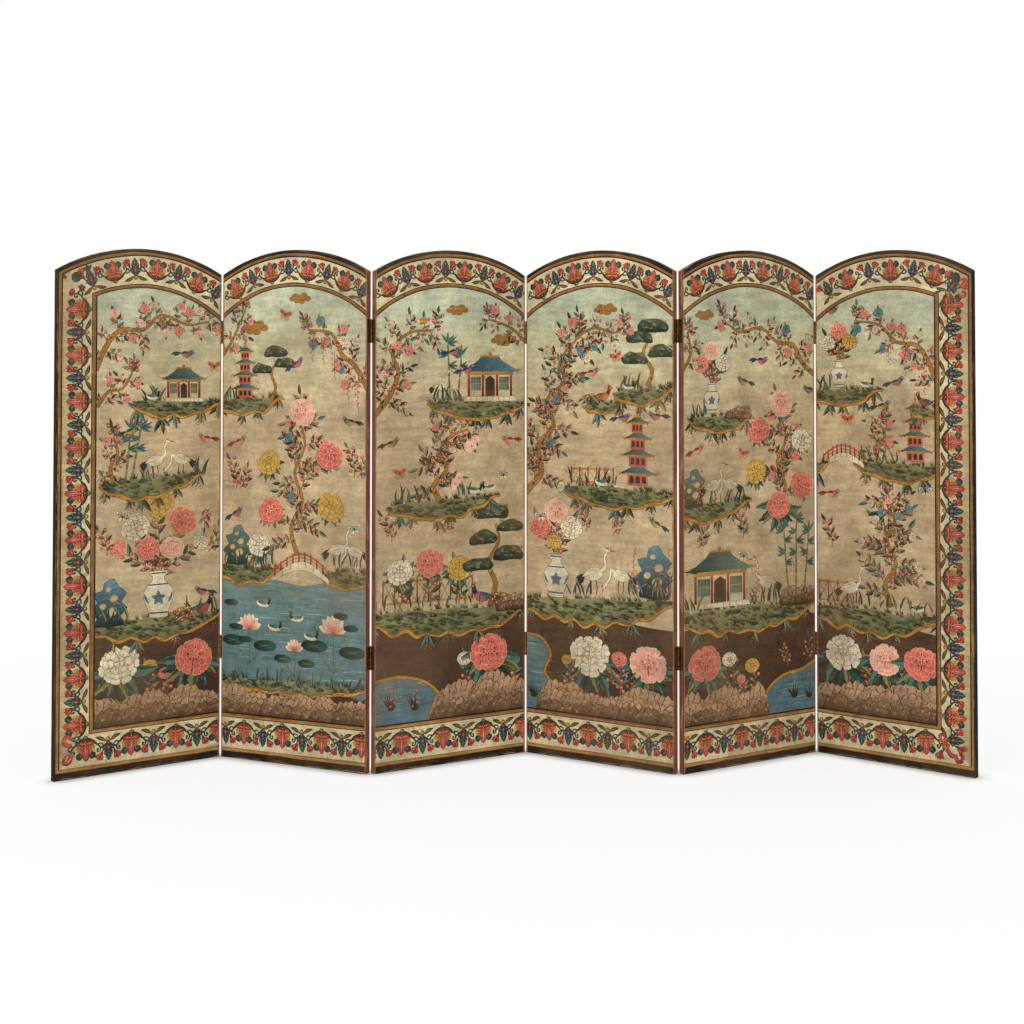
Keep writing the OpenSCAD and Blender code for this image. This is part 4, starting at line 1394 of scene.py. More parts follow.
def leafFive(b):
    soil(b, [458, 466, 458, 446, 462, 476, 470])
    pond(b, [(330, 150), (350, 226), (420, 270), (500, 280), (572, 310), (572, 150)],
         (380, 520, 172, 268), 52)
    shore(b, [(330, 154), (350, 230), (420, 276), (500, 286), (574, 316)])
    peony(b.at(88, 344), 58, "coral")
    stems(b, ((190, 215, 350, 30, "white"), (286, 215, 320, 30, "yellow"), (240, 215, 280, 18, "coral")))
    sprigs(b, ((440, 300, 20, 80), (520, 310, -10, 80)))
    tuft(b.at(470, 194), 66, 8, "grassDark", 0.6)
    tuft(b.at(536, 186), 56, 8, "grassDark", 0.6)
    footRocks(b, -10, 344)
    island(b.at(-40, 500), 660, 80, 8, 5)
    teaHouse(b.at(150, 540), 236, 160, "teal")
    rocks(b.at(424, 524), 150, 50)
    for x, lean in ((444, -18), (478, 4), (514, 24)):
        bamboo(b.at(x, 540), 260 - abs(lean) * 2, lean)
    crane(b.at(352, 528, 0, 1.4, -1))
    grasses(b.at(0, 520), 60, 60, 6)
    grasses(b.at(270, 524), 150, 64, 10)
    raceme(b.at(300, 530), 150, 8)
    boughs(b, [(400, 840), (434, 910), (396, 990), (440, 1070), (410, 1150)], [14, 12, 10, 7, 3], 26, 106,
           ("blue", "coral"), 0.25, 34)
    leaningBlooms(b, 60, ((504, 910, 44, "coral", -24), (304, 960, 40, "yellow", 24),
                          (506, 1060, 40, "white", -20), (318, 1100, 42, "coral", 20),
                          (416, 1186, 44, "rose", 0)))
    peony(b.at(404, 846), 44, "coral", reach=2.3)
    sprigs(b, ((250, 740, 12, 90), (60, 720, -20, 80)))
    island(b.at(-40, 848), 330, 56, 14, 5)
    standingStone(b.at(40, 858), 120, "teal")
    crane(b.at(118, 866, 0, 1.2))
    crane(b.at(196, 872, 0, 1.1, -1), True)
    grasses(b.at(0, 860), 270, 54, 12)
    raceme(b.at(76, 864), 130, -6)
    island(b.at(20, 1140), 280, 48, -4, 5)
    bouquet(b.at(118, 1160), 96, ((26, 110, 7), (-26, 110, 7), (2, 120, 8)),
            ((-46, 160, 28, "coral"), (46, 164, 28, "white"), (0, 204, 30, "rose")))
    rocks(b.at(190, 1148), 84, 34)
    grasses(b.at(40, 1152), 60, 50, 5)
    boughs(b, [(-6, 1290), (30, 1350), (20, 1420)], [10, 8, 3], 26, 56, ("white",), 0.5, 26)
    boughs(b, [(572, 1280), (512, 1320), (470, 1384), (400, 1392), (330, 1440), (240, 1424), (170, 1460)],
           [18, 15, 13, 10, 8, 6, 3], 26, 74, ("white", "blue", "coral"), 0.75, 26)
    cloud(b.at(88, 1480, 0, 0.75))
    flutter(b, ((330, 1330, 1), (250, 1260, -1), (60, 1040, 1), (250, 1020, 1), (250, 680, -1),
                (540, 1230, -1)))


def leafSix(b):
    soil(b, [478, 464, 450, 460, 446, 434, 428])
    stems(b, ((190, 215, 330, 24, "coral"), (316, 215, 306, 24, "white")))
    peony(b.at(100, 346), 60, "white")
    peony(b.at(254, 340), 50, "rose")
    peony(b.at(384, 342), 54, "coral")
    footRocks(b, -10, 470)
    island(b.at(-40, 490), 520, 72, -8, 5)
    lattice(b.at(10, 520), 140, 62, 4)
    boughs(b, [(276, 516), (256, 590), (296, 660), (262, 740), (294, 810), (270, 880)],
           [17, 14, 12, 9, 7, 3], 22, 128, ("coral", "blue", "white"), 0.7, 36)
    crane(b.at(124, 508, 0, 1.25))
    duck(b.at(368, 514, 0, 1.1, -1))
    grasses(b.at(0, 510), 440, 54, 16)
    sprigs(b, ((60, 700, 16, 90),))
    island(b.at(140, 985), 350, 54, -12, 5)
    footBridge(b.at(30, 978), 150, 36)
    island(b.at(-70, 975), 120, 40, 2, 1)
    tower(b.at(366, 1000), 112, 52)
    boughs(b, [(236, 996), (222, 1040), (260, 1080), (240, 1120)], [12, 9, 6, 3],
           22, 66, ("white", "coral"), 0.6, 26)
    grasses(b.at(160, 996), 150, 50, 8)
    island(b.at(-40, 1220), 290, 50, 8, 5)
    bouquet(b.at(88, 1240), 90, ((26, 100, 7), (-26, 100, 7), (2, 110, 8)),
            ((-42, 150, 26, "white"), (42, 154, 26, "yellow"), (0, 192, 28, "coral")))
    duck(b.at(190, 1246))
    grasses(b.at(10, 1236), 50, 50, 5)
    boughs(b, [(452, 1230), (420, 1310), (376, 1380), (300, 1392), (240, 1450), (150, 1462)],
           [17, 14, 12, 9, 6, 3], 26, 74, ("blue", "coral", "white"), 0.75, 26)
    for x, z, k in ((400, 1320, 104), (334, 1370, 92), (276, 1400, 86)):
        raceme(b.at(x, z, 180), k, 4)
    pheasant(b.at(400, 1176, 0, 0.8, -1), "teal", "red", 90)
    island(b.at(350, 1166), 120, 30, 0, 2)
    flutter(b, ((300, 1260, 1), (250, 1180, 1), (60, 880, 1), (120, 1130, -1), (400, 900, -1),
                (60, 1500, 1)))


def scenes(sheet, leaf):
    b = Brush(sheet)
    backdrop(b)
    (leafOne, leafTwo, leafThree, leafFour, leafFive, leafSix)[leaf - 1](b)


# From drawing to mesh

# millimetres: the painting's height over the canvas node, the swell of the cloth, the sway of a line, the
# grid, the gap at the edges, the least distance of two points and how far a straight run may wander
canvas = {"lift": 0.25, "swell": 0.7, "sway": 0.8, "grid": 38.0, "edge": 0.3, "merge": 0.01, "slack": 0.04}
# shares of the square bake map: the rim left free, the width of half a leaf and the step to the other
bakeMap = {"margin": 0.003, "wide": 0.49, "step": 0.504}


def placed(data):
    # an object with the name of its data
    thing = bpy.data.objects.new(data.name, data)
    bpy.context.scene.collection.objects.link(thing)
    return thing


def linearColour(code):
    value = np.array([int(code[i:i + 2], 16) for i in (0, 2, 4)]) / 255
    return np.where(value <= 0.04045, value / 12.92, ((value + 0.055) / 1.055) ** 2.4)


def handSway(points, n):
    # the slow wander of a line drawn by hand
    x, z = points.T
    k = canvas["sway"]
    dx = k * np.sin(z / 61 + n) + 0.5 * k * np.sin(z / 23 + x / 40 + 2 * n)
    dz = k * np.sin(x / 57 + 2 * n) + 0.5 * k * np.sin(x / 21 + z / 44 + n)
    return points + np.stack([dx, dz], 1)


def swelling(x, z, n):
    inset = np.minimum(np.minimum(x, leafWide - x), np.minimum(z, sideHigh + archRise * 0.5 - z))
    calm = np.clip(inset / 40, 0, 1)
    wave = 0.6 + 0.4 * np.sin(x / 95 + 2 * n) * np.sin(z / 170 + n) + 0.25 * np.sin(x / 41 + z / 67 + 3 * n)
    return canvas["swell"] * calm * np.maximum(wave, 0)


def withinShape(shape, x, z):
    # a point is inside where a line from it crosses the outline an odd number of times
    ax, az = shape[:, 0][:, None], shape[:, 1][:, None]
    bx, bz = np.roll(ax, -1, 0), np.roll(az, -1, 0)
    rise = np.where(bz == az, 1e-12, bz - az)
    crossed = ((az > z) != (bz > z)) & (x < ax + (z - az) * (bx - ax) / rise)
    return crossed.sum(0) % 2 == 1


def topShape(shapes, x, z):
    # for each point the number of the last shape that covers it
    order = np.argsort(z)
    xs, zs = x[order], z[order]
    top = np.full(len(x), -1)
    for number, shape in enumerate(shapes):
        low, high = shape.min(0), shape.max(0)
        begin, end = np.searchsorted(zs, (low[1], high[1]))
        near = begin + np.flatnonzero((xs[begin:end] > low[0]) & (xs[begin:end] < high[0]))
        if len(near):
            hit = near[withinShape(shape, xs[near], zs[near])]
            top[order[hit]] = number
    return top


def cutUp(points, sides, outline, shapes):
    # triangles whose sides follow every given line, and the top shape of each
    found = delaunay_2d_cdt([Vector(p) for p in points], sides, [], 0, canvas["merge"], False)
    place, corners = np.array([tuple(v) for v in found[0]]), np.array(found[2])
    middle = place[corners].mean(1)
    inside = withinShape(outline, middle[:, 0], middle[:, 1])
    corners, middle = corners[inside], middle[inside]
    return place, corners, topShape(shapes, middle[:, 0], middle[:, 1])


def seams(corners, top):
    # the sides of triangles where one shape meets another, and those at the rim
    sides = np.sort(corners[:, [[0, 1], [1, 2], [2, 0]]].reshape(-1, 2), 1)
    order = np.lexsort((sides[:, 1], sides[:, 0]))
    sides, shape = sides[order], np.repeat(top, 3)[order]
    first = np.flatnonzero(np.all(sides[1:] == sides[:-1], 1))
    keep = np.ones(len(sides), bool)
    keep[first + 1] = False
    keep[first] = shape[first] != shape[first + 1]
    return sides[keep]


def straightened(place, sides):
    # without the points that lie on a straight run between their two neighbours
    for _ in range(6):
        degree = np.bincount(sides.ravel(), minlength=len(place))
        ends = np.concatenate([sides, sides[:, ::-1]])
        ends = ends[np.argsort(ends[:, 0], kind="stable")]
        first = np.searchsorted(ends[:, 0], np.arange(len(place)))
        spot = np.flatnonzero(degree == 2)
        before, after = ends[first[spot], 1], ends[first[spot] + 1, 1]
        run, step = place[after] - place[before], place[spot] - place[before]
        length = np.maximum(np.linalg.norm(run, axis=1), 1e-9)
        off = np.abs(run[:, 0] * step[:, 1] - run[:, 1] * step[:, 0]) / length
        straight = np.zeros(len(place), bool)
        straight[spot[off < canvas["slack"]]] = True
        # of two neighbours only one goes at a time
        go = straight[spot] & ~(straight[before] & (before < spot)) & ~(straight[after] & (after < spot))
        go &= before != after
        gone = np.zeros(len(place), bool)
        gone[spot[go]] = True
        stay = sides[~gone[sides].any(1)]
        sides = np.concatenate([stay, np.stack([before[go], after[go]], 1)])
        if not go.any():
            break
    return sides


def cutPainting(n, sheet):
    # the painting's points, its triangles and the number of the shape on each
    e = canvas["edge"]
    outline = np.array([(e, e), (leafWide - e, e)] + arcRun(e, leafWide - e, archRadius - e, 48)[::-1])
    shapes = [handSway(s[0], n) for s in sheet.shapes]
    points, sides = [], []
    for line in [outline] + shapes:
        base, count = len(points), len(line)
        points += line.tolist()
        sides += [(base + i, base + (i + 1) % count) for i in range(count)]
    place, corners, top = cutUp(points, sides, outline, shapes)
    # once more with only the lines that show, one across the middle and a grid for the swell of the cloth
    kept, ends = np.unique(straightened(place, seams(corners, top)), return_inverse=True)
    points, sides = place[kept].tolist(), ends.reshape(-1, 2).tolist()
    points += [(e, fullHigh / 2), (leafWide - e, fullHigh / 2)]
    sides.append((len(points) - 2, len(points) - 1))
    step = canvas["grid"]
    for x in np.arange(step / 2, leafWide, step):
        points += [(x, z) for z in np.arange(step / 2, fullHigh, step)]
    place, corners, top = cutUp(points, sides, outline, shapes)
    used, corners = np.unique(corners, return_inverse=True)
    return place[used], corners.reshape(-1, 3), top


def cornerColours(sheet, place, corners, top):
    # the two colours of each triangle's shape, mixed along the shape's line, at the triangle's corners
    codes = sorted({c for s in sheet.shapes for c in s[1:3]})
    tones = np.array([linearColour(palette[c]) for c in codes])
    first = np.array([codes.index(s[1]) for s in sheet.shapes])[top]
    second = np.array([codes.index(s[2]) for s in sheet.shapes])[top]
    begin = np.array([s[3] for s in sheet.shapes])[top][:, None]
    axis = np.array([s[4] for s in sheet.shapes])[top][:, None] - begin
    along = np.sum((place[corners] - begin) * axis, 2) / np.maximum(np.sum(axis * axis, 2), 1e-6)
    share = np.clip(along, 0, 1)[:, :, None]
    return tones[first][:, None] * (1 - share) + tones[second][:, None] * share


def paintMesh(n, sheet):
    place, corners, top = cutPainting(n, sheet)
    leaf = leaves[n]
    x, z = place.T
    out = canvas["lift"] + swelling(x, z, n)
    points = (leaf["start"] + mm * (x[:, None] * leaf["across"] + out[:, None] * leaf["outward"]
                                    + z[:, None] * np.array([0, 0, 1])))
    mesh = bpy.data.meshes.new(f"leaf_{n}_painting")
    # seen from the front the triangles run anticlockwise
    mesh.from_pydata(points.tolist(), [], corners.tolist())
    paint = mesh.color_attributes.new("paint", "FLOAT_COLOR", "CORNER")
    rgba = np.ones((len(corners) * 3, 4), np.float32)
    rgba[:, :3] = cornerColours(sheet, place, corners, top).reshape(-1, 3)
    paint.data.foreach_set("color", rgba.ravel())
    spot = mesh.attributes.new("leafPlace", "FLOAT_VECTOR", "POINT")
    spot.data.foreach_set("vector", np.stack([x * mm, z * mm, 0 * x + n], 1).astype(np.float32).ravel())
    # one half of the leaf beside the other fills the square bake map
    bake = mesh.uv_layers.new(name="OFBake")
    halfHigh, margin = fullHigh / 2, bakeMap["margin"]
    cornerPlace = place[corners]
    upper = (cornerPlace[:, :, 1].mean(1) > halfHigh)[:, None]
    u = margin + bakeMap["wide"] * cornerPlace[:, :, 0] / leafWide + bakeMap["step"] * upper
    v = margin + (1 - 2 * margin) * (cornerPlace[:, :, 1] - halfHigh * upper) / halfHigh
    bake.data.foreach_set("uv", np.stack([u, v], 2).astype(np.float32).ravel())
    mesh.polygons.foreach_set("use_smooth", np.ones(len(corners), bool))
    mesh.update()
    painting = placed(mesh)
    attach(painting, f"leaf_{n}")
    return painting


# Materials

class Nodes:
    def __init__(self, owner, kind="Material"):
        owner.use_nodes = True
        self.owner, self.tree = owner, owner.node_tree
        self.tree.nodes.clear()
        self.output = self.add("Output" + kind)

    def add(self, kind, inputs=(), **settings):
        node = self.tree.nodes.new("ShaderNode" + kind)
        for key, value in settings.items():
            setattr(node, key, value)
        for key, value in dict(inputs).items():
            self.put(node.inputs[key], value)
        return node

    def put(self, socket, value):
        if hasattr(value, "is_output"):
            self.tree.links.new(value, socket)
        else:
            socket.default_value = value

    def math(self, operation, a, b=0.0):
        return self.add("Math", {0: a, 1: b}, operation=operation).outputs[0]

    def noise(self, vector, scale, detail=3.0, rough=0.55, distortion=0.0):
        settings = {"Scale": scale, "Detail": detail, "Roughness": rough, "Distortion": distortion}
        return self.add("TexNoise", {"Vector": vector, **settings}).outputs["Fac"]

    def stretch(self, vector, scale, turn=0.0):
        node = self.add("Mapping", {"Vector": vector, "Scale": scale, "Rotation": (0, 0, turn)})
        return node.outputs["Vector"]

    def remap(self, value, low, high, toLow=0.0, toHigh=1.0):
        ends = {"From Min": low, "From Max": high, "To Min": toLow, "To Max": toHigh}
        return self.add("MapRange", {"Value": value, **ends}).outputs["Result"]

    def mix(self, share, a, b, blend="MIX"):
        node = self.add("Mix", data_type="RGBA", blend_type=blend)
        self.put(node.inputs[0], share)
        self.put(node.inputs[6], a)
        self.put(node.inputs[7], b)
        return node.outputs[2]

    def bump(self, height, strength, distance, before=None):
        node = self.add("Bump", {"Height": height, "Strength": strength, "Distance": distance})
        if before:
            self.put(node.inputs["Normal"], before)
        return node.outputs["Normal"]

    def finish(self, colour, roughness, normal=None, metallic=0.0, specular=0.4):
        surface = {"Roughness": roughness, "Metallic": metallic, "Specular IOR Level": specular}
        shader = self.add("BsdfPrincipled", {"Base Color": colour, **surface})
        if normal:
            self.put(shader.inputs["Normal"], normal)
        return self.show(shader)

    def dimmed(self, colour, light):
        grey = self.add("CombineColor", {0: light, 1: light, 2: light}).outputs[0]
        return self.mix(1.0, colour, grey, "MULTIPLY")

    def show(self, shader):
        self.put(self.output.inputs["Surface"], shader.outputs[0])
        return self.owner


def newMaterial(name):
    return Nodes(bpy.data.materials.new(name))


def tone(code):
    return (*linearColour(code), 1.0)


# how far each kind of wear shows, the tint of the varnish, and how many metres of an edge are rubbed
paintLook = {
    "mottle": 0.31, "threads": 0.08, "grain": 0.10, "soil": 0.42, "varnish": (0.97, 0.935, 0.85, 1),
    "crack": 0.45, "weave": 0.9, "roughness": 0.62, "edgeWear": 0.0065,
}
# paint, worn paint and bare wood; cloth and its shade; metal, its tarnish and its rubbed spots
finishes = {
    "red brown paint": ("8A5236", "6E3A26", "B08458"),
    "black paint": ("12100E", "1A1613", "4A3626"),
    "arch paint": ("1E1A16", "29231D", "5E4632"),
    "rail wood": ("6B4A30", "54381F", "8E6B45"),
    "back linen": ("8A7556", "6B583E"),
    "canvas edge": ("4A3526", "2F241B"),
    "tarnished brass": ("8A6A36", "3A2A18", "C9A25C"),
}


def finishTones(finish):
    return [tone(code) for code in finishes[finish]]


def leafTurn(n):
    # from a leaf's own direction back to that of the room
    across = leaves[n]["across"]
    return -math.atan2(across[1], across[0])


def weave(nodes, place, pitch):
    # threads over and under: two runs of ridges, one each way
    split = nodes.add("SeparateXYZ", {0: place})
    turns = 2 * math.pi / pitch
    across = nodes.math("SINE", nodes.math("MULTIPLY", split.outputs[0], turns))
    up = nodes.math("SINE", nodes.math("MULTIPLY", split.outputs[1], turns))
    return nodes.math("MULTIPLY", across, up)


def shaded(nodes, colour, levels):
    # the colour times several lights, each given as a texture and how far it swings
    light = 1.0
    for texture, swing in levels:
        light = nodes.math("MULTIPLY", light, nodes.remap(texture, 0.3, 0.7, 1 - swing, 1 + swing))
    return nodes.dimmed(colour, light)


def rubbedEdges(nodes, place):
    # how far the paint is gone along the edges that meet another leaf
    split = nodes.add("SeparateXYZ", {0: place})
    x, number = split.outputs[0], split.outputs[2]
    left = nodes.math("ADD", x, nodes.math("LESS_THAN", number, 1.5))
    right = nodes.math("SUBTRACT", leafWide * mm, x)
    right = nodes.math("ADD", right, nodes.math("GREATER_THAN", number, leafCount - 0.5))
    rub = nodes.noise(nodes.stretch(place, (90, 16, 1)), 1, 5, 0.7)
    ragged = nodes.math("MULTIPLY", nodes.math("SUBTRACT", rub, 0.5), 0.014)
    reach = nodes.math("ADD", nodes.math("MINIMUM", left, right), ragged)
    return nodes.remap(reach, paintLook["edgeWear"], paintLook["edgeWear"] * 0.45)


def paintedCanvas():
    nodes = newMaterial("painted canvas")
    look = paintLook
    place = nodes.add("Attribute", attribute_name="leafPlace").outputs["Vector"]
    colour = nodes.add("Attribute", attribute_name="paint").outputs["Color"]
    blotch = nodes.noise(place, 17, 4, 0.6, 0.4)
    speck = nodes.noise(place, 420, 2, 0.7)
    toned = shaded(nodes, nodes.mix(1.0, colour, look["varnish"], "MULTIPLY"), (
        (nodes.noise(place, 5, 5, 0.6), look["mottle"] * 0.7),
        (blotch, look["mottle"] * 0.6),
        (nodes.noise(nodes.stretch(place, (9, 70, 1)), 1, 4, 0.6), look["mottle"] * 0.5),
        (nodes.noise(place, 60, 4, 0.7), look["mottle"] * 0.5),
        (nodes.noise(place, 170, 3, 0.7), look["grain"]),
        (nodes.noise(nodes.stretch(place, (230, 16, 1)), 1, 3, 0.6), look["threads"]),
        (nodes.noise(nodes.stretch(place, (16, 230, 1)), 1, 3, 0.6), look["threads"]),
        (speck, look["grain"]),
    ))
    grime = nodes.remap(nodes.noise(place, 3.1, 6, 0.62, 0.3), 0.45, 0.75, 0, look["soil"])
    toned = nodes.mix(grime, toned, tone("7E6243"))
    bloomed = nodes.remap(nodes.noise(place, 8, 6, 0.7, 0.6), 0.56, 0.75, 0, look["soil"] * 0.22)
    toned = nodes.mix(bloomed, toned, tone("C3B79A"))
    islands = {"Vector": nodes.stretch(place, (1, 1.25, 1)), "Scale": 95.0, "Randomness": 1.0}
    cells = nodes.add("TexVoronoi", islands, feature="DISTANCE_TO_EDGE")
    crackLine = nodes.remap(cells.outputs["Distance"], 0.0, 0.035, 1, 0)
    crackPatch = nodes.remap(nodes.noise(place, 7, 3), 0.45, 0.62)
    crack = nodes.math("MULTIPLY", crackLine, nodes.math("MULTIPLY", crackPatch, look["crack"]))
    toned = nodes.mix(crack, toned, tone("3A2C20"))
    gone = nodes.math("MULTIPLY", rubbedEdges(nodes, place), 0.85)
    toned = nodes.mix(gone, toned, nodes.mix(nodes.remap(speck, 0.4, 0.6), tone("7A4A2C"), tone("A87A52")))
    threads = weave(nodes, place, 0.0011)
    normal = nodes.bump(threads, 0.35 * look["weave"], 0.0002)
    normal = nodes.bump(speck, 0.25, 0.0003, normal)
    normal = nodes.bump(crack, 0.5, 0.0003, normal)
    rough = nodes.remap(blotch, 0.3, 0.7, look["roughness"] - 0.08, look["roughness"] + 0.1)
    return nodes.finish(toned, rough, normal, specular=0.12)


def wornPaint(finish, wear, gloss=0.3, n=None):
    # old paint over wood, rubbed through along the grain, which runs up or, with a number, along that leaf
    nodes = newMaterial(f"{finish} {n}" if n else finish)
    base, worn, wood = finishTones(finish)
    place = nodes.add("TexCoord").outputs["Object"]
    grainScale, turn = ((7, 260, 260), leafTurn(n)) if n else ((260, 260, 7), 0.0)
    grain = nodes.noise(nodes.stretch(place, grainScale, turn), 1, 4, 0.6, 0.3)
    rub = nodes.noise(nodes.stretch(place, (40, 40, 9)), 1, 5, 0.65)
    speck = nodes.noise(place, 600, 2, 0.7)
    colour = nodes.mix(nodes.remap(grain, 0.35, 0.65), base, worn)
    bare = nodes.remap(rub, 0.62 - 0.16 * wear, 0.70 - 0.1 * wear)
    colour = nodes.mix(nodes.math("MULTIPLY", bare, 0.85), colour, wood)
    colour = nodes.mix(nodes.remap(speck, 0.55, 0.8, 0, 0.4), colour, tone("20180F"))
    normal = nodes.bump(grain, 0.4, 0.0005)
    normal = nodes.bump(speck, 0.2, 0.0003, normal)
    return nodes.finish(colour, nodes.remap(grain, 0.3, 0.7, 0.55, 0.75), normal, specular=gloss)


def plainLinen(finish, n):
    nodes = newMaterial(f"{finish} {n}")
    base, dark = finishTones(finish)
    place = nodes.add("TexCoord").outputs["Object"]
    turned = nodes.stretch(place, (1, 1, 1), leafTurn(n))
    split = nodes.add("SeparateXYZ", {0: turned})
    flat = nodes.add("CombineXYZ", {0: split.outputs[0], 1: split.outputs[2]}).outputs[0]
    slub = nodes.noise(nodes.stretch(flat, (30, 700, 1)), 1, 3)
    slubUp = nodes.noise(nodes.stretch(flat, (700, 30, 1)), 1, 3)
    broad = nodes.noise(flat, 4, 6, 0.62, 0.4)
    stain = nodes.noise(flat, 11, 5, 0.7, 0.8)
    threads = weave(nodes, flat, 0.0016)
    colour = nodes.mix(nodes.remap(broad, 0.32, 0.68), base, dark)
    colour = nodes.mix(nodes.remap(stain, 0.55, 0.75, 0, 0.55), colour, tone("3B2C1D"))
    along, up = (nodes.remap(run, 0.3, 0.7, 0.43, 0.56) for run in (slub, slubUp))
    # the slubs vary the cloth's own tone; the weave's ridges are painted lighter and its hollows darker, a
    # painted light and shade of the threads
    light = nodes.math("MULTIPLY", nodes.math("ADD", along, up), nodes.remap(threads, -1, 1, 0.90, 1.06))
    colour = nodes.dimmed(colour, light)
    normal = nodes.bump(threads, 0.5, 0.0003)
    normal = nodes.bump(slub, 0.35, 0.0003, normal)
    return nodes.finish(colour, 0.85, normal, specular=0.2)


def oldBrass():
    nodes = newMaterial("tarnished brass")
    metal, tarnish, rubbed = finishTones("tarnished brass")
    place = nodes.add("TexCoord").outputs["Object"]
    cloud = nodes.noise(place, 130, 5, 0.62, 0.4)
    fine = nodes.noise(place, 900, 3, 0.6)
    colour = nodes.mix(nodes.remap(cloud, 0.35, 0.62), metal, tarnish)
    colour = nodes.mix(nodes.remap(fine, 0.62, 0.75, 0, 0.6), colour, rubbed)
    rough = nodes.remap(cloud, 0.3, 0.7, 0.34, 0.62)
    return nodes.finish(colour, rough, nodes.bump(fine, 0.25, 0.0003), metallic=0.85, specular=0.5)


def dress(node, material):
    for slot in frame["nodes"][node].material_slots:
        slot.material = material


def dressLeaf(n, red, black):
    rail, arch = wornPaint("rail wood", 0.3, n=n), wornPaint("arch paint", 0.4, 0.1, n)
    looks = {
        "left_stile": black if n == 1 else red,
        "right_stile": black if n == leafCount else red,
        "arched_rail": arch,
        "cross_rail": rail,
        "bottom_rail": arch,
        "front_canvas": plainLinen("canvas edge", n),
        "back_canvas": plainLinen("back linen", n),
    }
    for piece, material in looks.items():
        dress(f"leaf_{n}_{piece}", material)


# millimetres; the rings of the head go from its rim in, each with its share of the radius and of the height
tack = {
    "radius": 3.2, "dome": 1.1, "pitch": 58.0, "inset": 9.0, "sides": 10,
    "rings": ((1.0, -0.2), (0.85, 0.55), (0.45, 0.92)),
}


def tackHead(x, z, base):
    # the points of one head and the faces between them, numbered from base
    points, faces, sides = [], [], tack["sides"]
    for share, rise in tack["rings"]:
        r = tack["radius"] * share
        for i in range(sides):
            a = 2 * math.pi * i / sides
            points.append((x + r * math.cos(a), z + r * math.sin(a), rise * tack["dome"]))
    points.append((x, z, tack["dome"]))
    for i in range(sides):
        j = (i + 1) % sides
        for ring in range(len(tack["rings"]) - 1):
            a, b = base + ring * sides, base + (ring + 1) * sides
            faces.append((a + i, b + i, b + j, a + j))
        faces.append((b + i, b + sides, b + j))
    return points, faces


def backTacks(n):
    # the backing is held by a row of tacks round its edge
    leaf = leaves[n]
    inset, pitch = tack["inset"], tack["pitch"]
    spots = []
    for z in np.arange(inset, sideHigh - inset, pitch):
        spots += [(inset, z), (leafWide - inset, z)]
    for x in np.arange(inset + pitch, leafWide - inset, pitch):
        spots.append((x, inset))
    spots += arcRun(inset, leafWide - inset, archRadius - inset, int(leafWide / pitch) + 2)
    verts, faces = [], []
    for x, z in spots:
        head = tackHead(x, z, len(verts))
        verts += head[0]
        faces += head[1]
    points = []
    for x, z, rise in verts:
        flat = x * leaf["across"] - (leaf["thick"] + rise) * leaf["outward"]
        points.append(tuple(leaf["start"] + mm * flat + np.array([0, 0, z * mm])))
    mesh = bpy.data.meshes.new(f"leaf_{n}_back_tacks")
    mesh.from_pydata(points, [], faces)
    mesh.polygons.foreach_set("use_smooth", np.ones(len(faces), bool))
    tacks = placed(mesh)
    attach(tacks, f"leaf_{n}")
    return tacks


red = wornPaint("red brown paint", 0.6)
black = wornPaint("black paint", 0.35, 0.05)
brass = oldBrass()
paintedCloth = paintedCanvas()
for n in range(1, leafCount + 1):
    sheet = Sheet(n)
    scenes(sheet, n)
    drawFrame(sheet, n)
    painting = paintMesh(n, sheet)
    painting.data.materials.append(paintedCloth)
    tacks = backTacks(n)
    tacks.data.materials.append(brass)
    dressLeaf(n, red, black)
    print("leaf", n, "painted:", len(sheet.shapes), "shapes,", len(painting.data.polygons), "faces")
for n in range(1, leafCount):
    for name in ("left_plates", "right_plates", "pins"):
        dress(f"fold_{n}_{n + 1}_{name}", brass)


# Floor, light and camera

# the light from all round; the floor's tone, how white it is near and from where to where it fades to white;
# the reach of the painted contact shadow, and half the floor's width, in metres
studio = {"dome": 0.84, "floor": 0.86, "whiten": 0.8, "fade": (1.7, 3.2), "contact": 0.06, "reach": 30.0}
white = (1, 1, 1, 1)
lamps = {
    "key": {"place": (-3.2, -4.6, 3.4), "aim": (0, 0, 0.85), "size": 2.6, "power": 99.0},
    "fill": {"place": (3.6, -4.4, 2.4), "aim": (0, 0, 0.8), "size": 2.6, "power": 32.0},
}


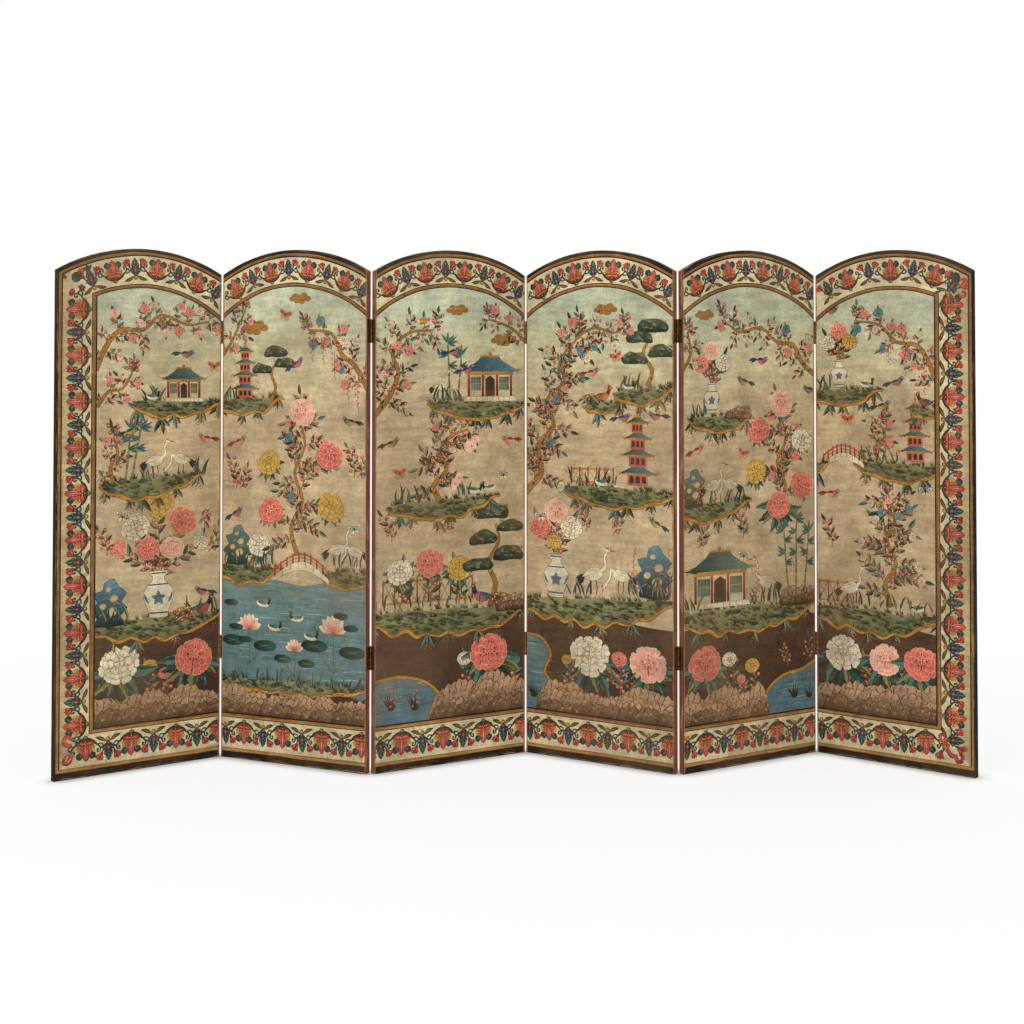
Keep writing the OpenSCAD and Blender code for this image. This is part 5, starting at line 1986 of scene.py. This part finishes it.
def paleFloor():
    # lit and shaded under the screen, with a contact shadow painted in from ambient occlusion, and plain white
    # further off, as the eye and the brass see it
    nodes = newMaterial("studio floor")
    rays = nodes.add("LightPath").outputs
    seen = nodes.math("MAXIMUM", rays["Is Camera Ray"], rays["Is Glossy Ray"])
    seen = nodes.math("MAXIMUM", seen, rays["Is Transmission Ray"])
    lit = nodes.add("BsdfDiffuse", {"Color": (studio["floor"],) * 3 + (1,)})
    bright = nodes.add("BsdfDiffuse", {"Color": white})
    place = nodes.add("NewGeometry").outputs["Position"]
    far = nodes.add("VectorMath", {0: place}, operation="LENGTH").outputs["Value"]
    whiten = nodes.remap(far, *studio["fade"], studio["whiten"], 1.0)
    # painted contact shadow: the white glow the camera sees is dimmed where ambient occlusion finds the screen
    # close by
    near = nodes.add("AmbientOcclusion", {"Distance": studio["contact"]}).outputs["AO"]
    glowWithPaintedShadow = nodes.add("Emission", {"Color": white, "Strength": nodes.remap(near, 0.45, 1.0, 0.3, 1.0)})
    plain = nodes.add("MixShader", {0: whiten, 1: bright.outputs[0], 2: glowWithPaintedShadow.outputs[0]})
    return nodes.show(nodes.add("MixShader", {0: seen, 1: lit.outputs[0], 2: plain.outputs[0]}))


def makeFloor():
    half = studio["reach"]
    mesh = bpy.data.meshes.new("studio_floor")
    corners = [(-half, -half, 0), (half, -half, 0), (half, half, 0), (-half, half, 0)]
    mesh.from_pydata(corners, [], [(0, 1, 2, 3)])
    floor = placed(mesh)
    mesh.materials.append(paleFloor())


def makeLamp(name, lamp):
    data = bpy.data.lights.new(name, "AREA")
    data.size, data.energy = lamp["size"], lamp["power"]
    light = placed(data)
    light.location = lamp["place"]
    light.rotation_euler = (Vector(lamp["aim"]) - light.location).to_track_quat("-Z", "Y").to_euler()


def makeWorld():
    # an even light from all round, which the camera sees as white
    world = bpy.context.scene.world = bpy.data.worlds.new("studio")
    nodes = Nodes(world, "World")
    rays = nodes.add("LightPath").outputs
    dome = nodes.add("Background", {"Color": white, "Strength": studio["dome"]})
    plain = nodes.add("Background", {"Color": white, "Strength": 1.0})
    seen = nodes.math("MAXIMUM", rays["Is Camera Ray"], rays["Is Transmission Ray"])
    nodes.show(nodes.add("MixShader", {0: seen, 1: dome.outputs[0], 2: plain.outputs[0]}))


makeFloor()
makeWorld()
for name, lamp in lamps.items():
    makeLamp(name, lamp)

# millimetres, shares of the picture, metres and degrees
view = {
    "lens": 56.52, "sensor": 36.0, "shift": (-0.0280, -0.1857), "place": (-0.0007, -5.3255, 1.3238),
    "tilt": 91.448, "turn": -0.861,
}
lens = bpy.data.cameras.new("camera")
lens.sensor_width = view["sensor"]
lens.lens = view["lens"]
lens.shift_x, lens.shift_y = view["shift"]
camera = placed(lens)
camera.location = view["place"]
camera.rotation_euler = (math.radians(view["tilt"]), 0, math.radians(view["turn"]))
bpy.context.scene.camera = camera
bpy.context.scene.view_settings.view_transform = "Standard"
print("studio and camera ready")

bpy.context.view_layer.update()
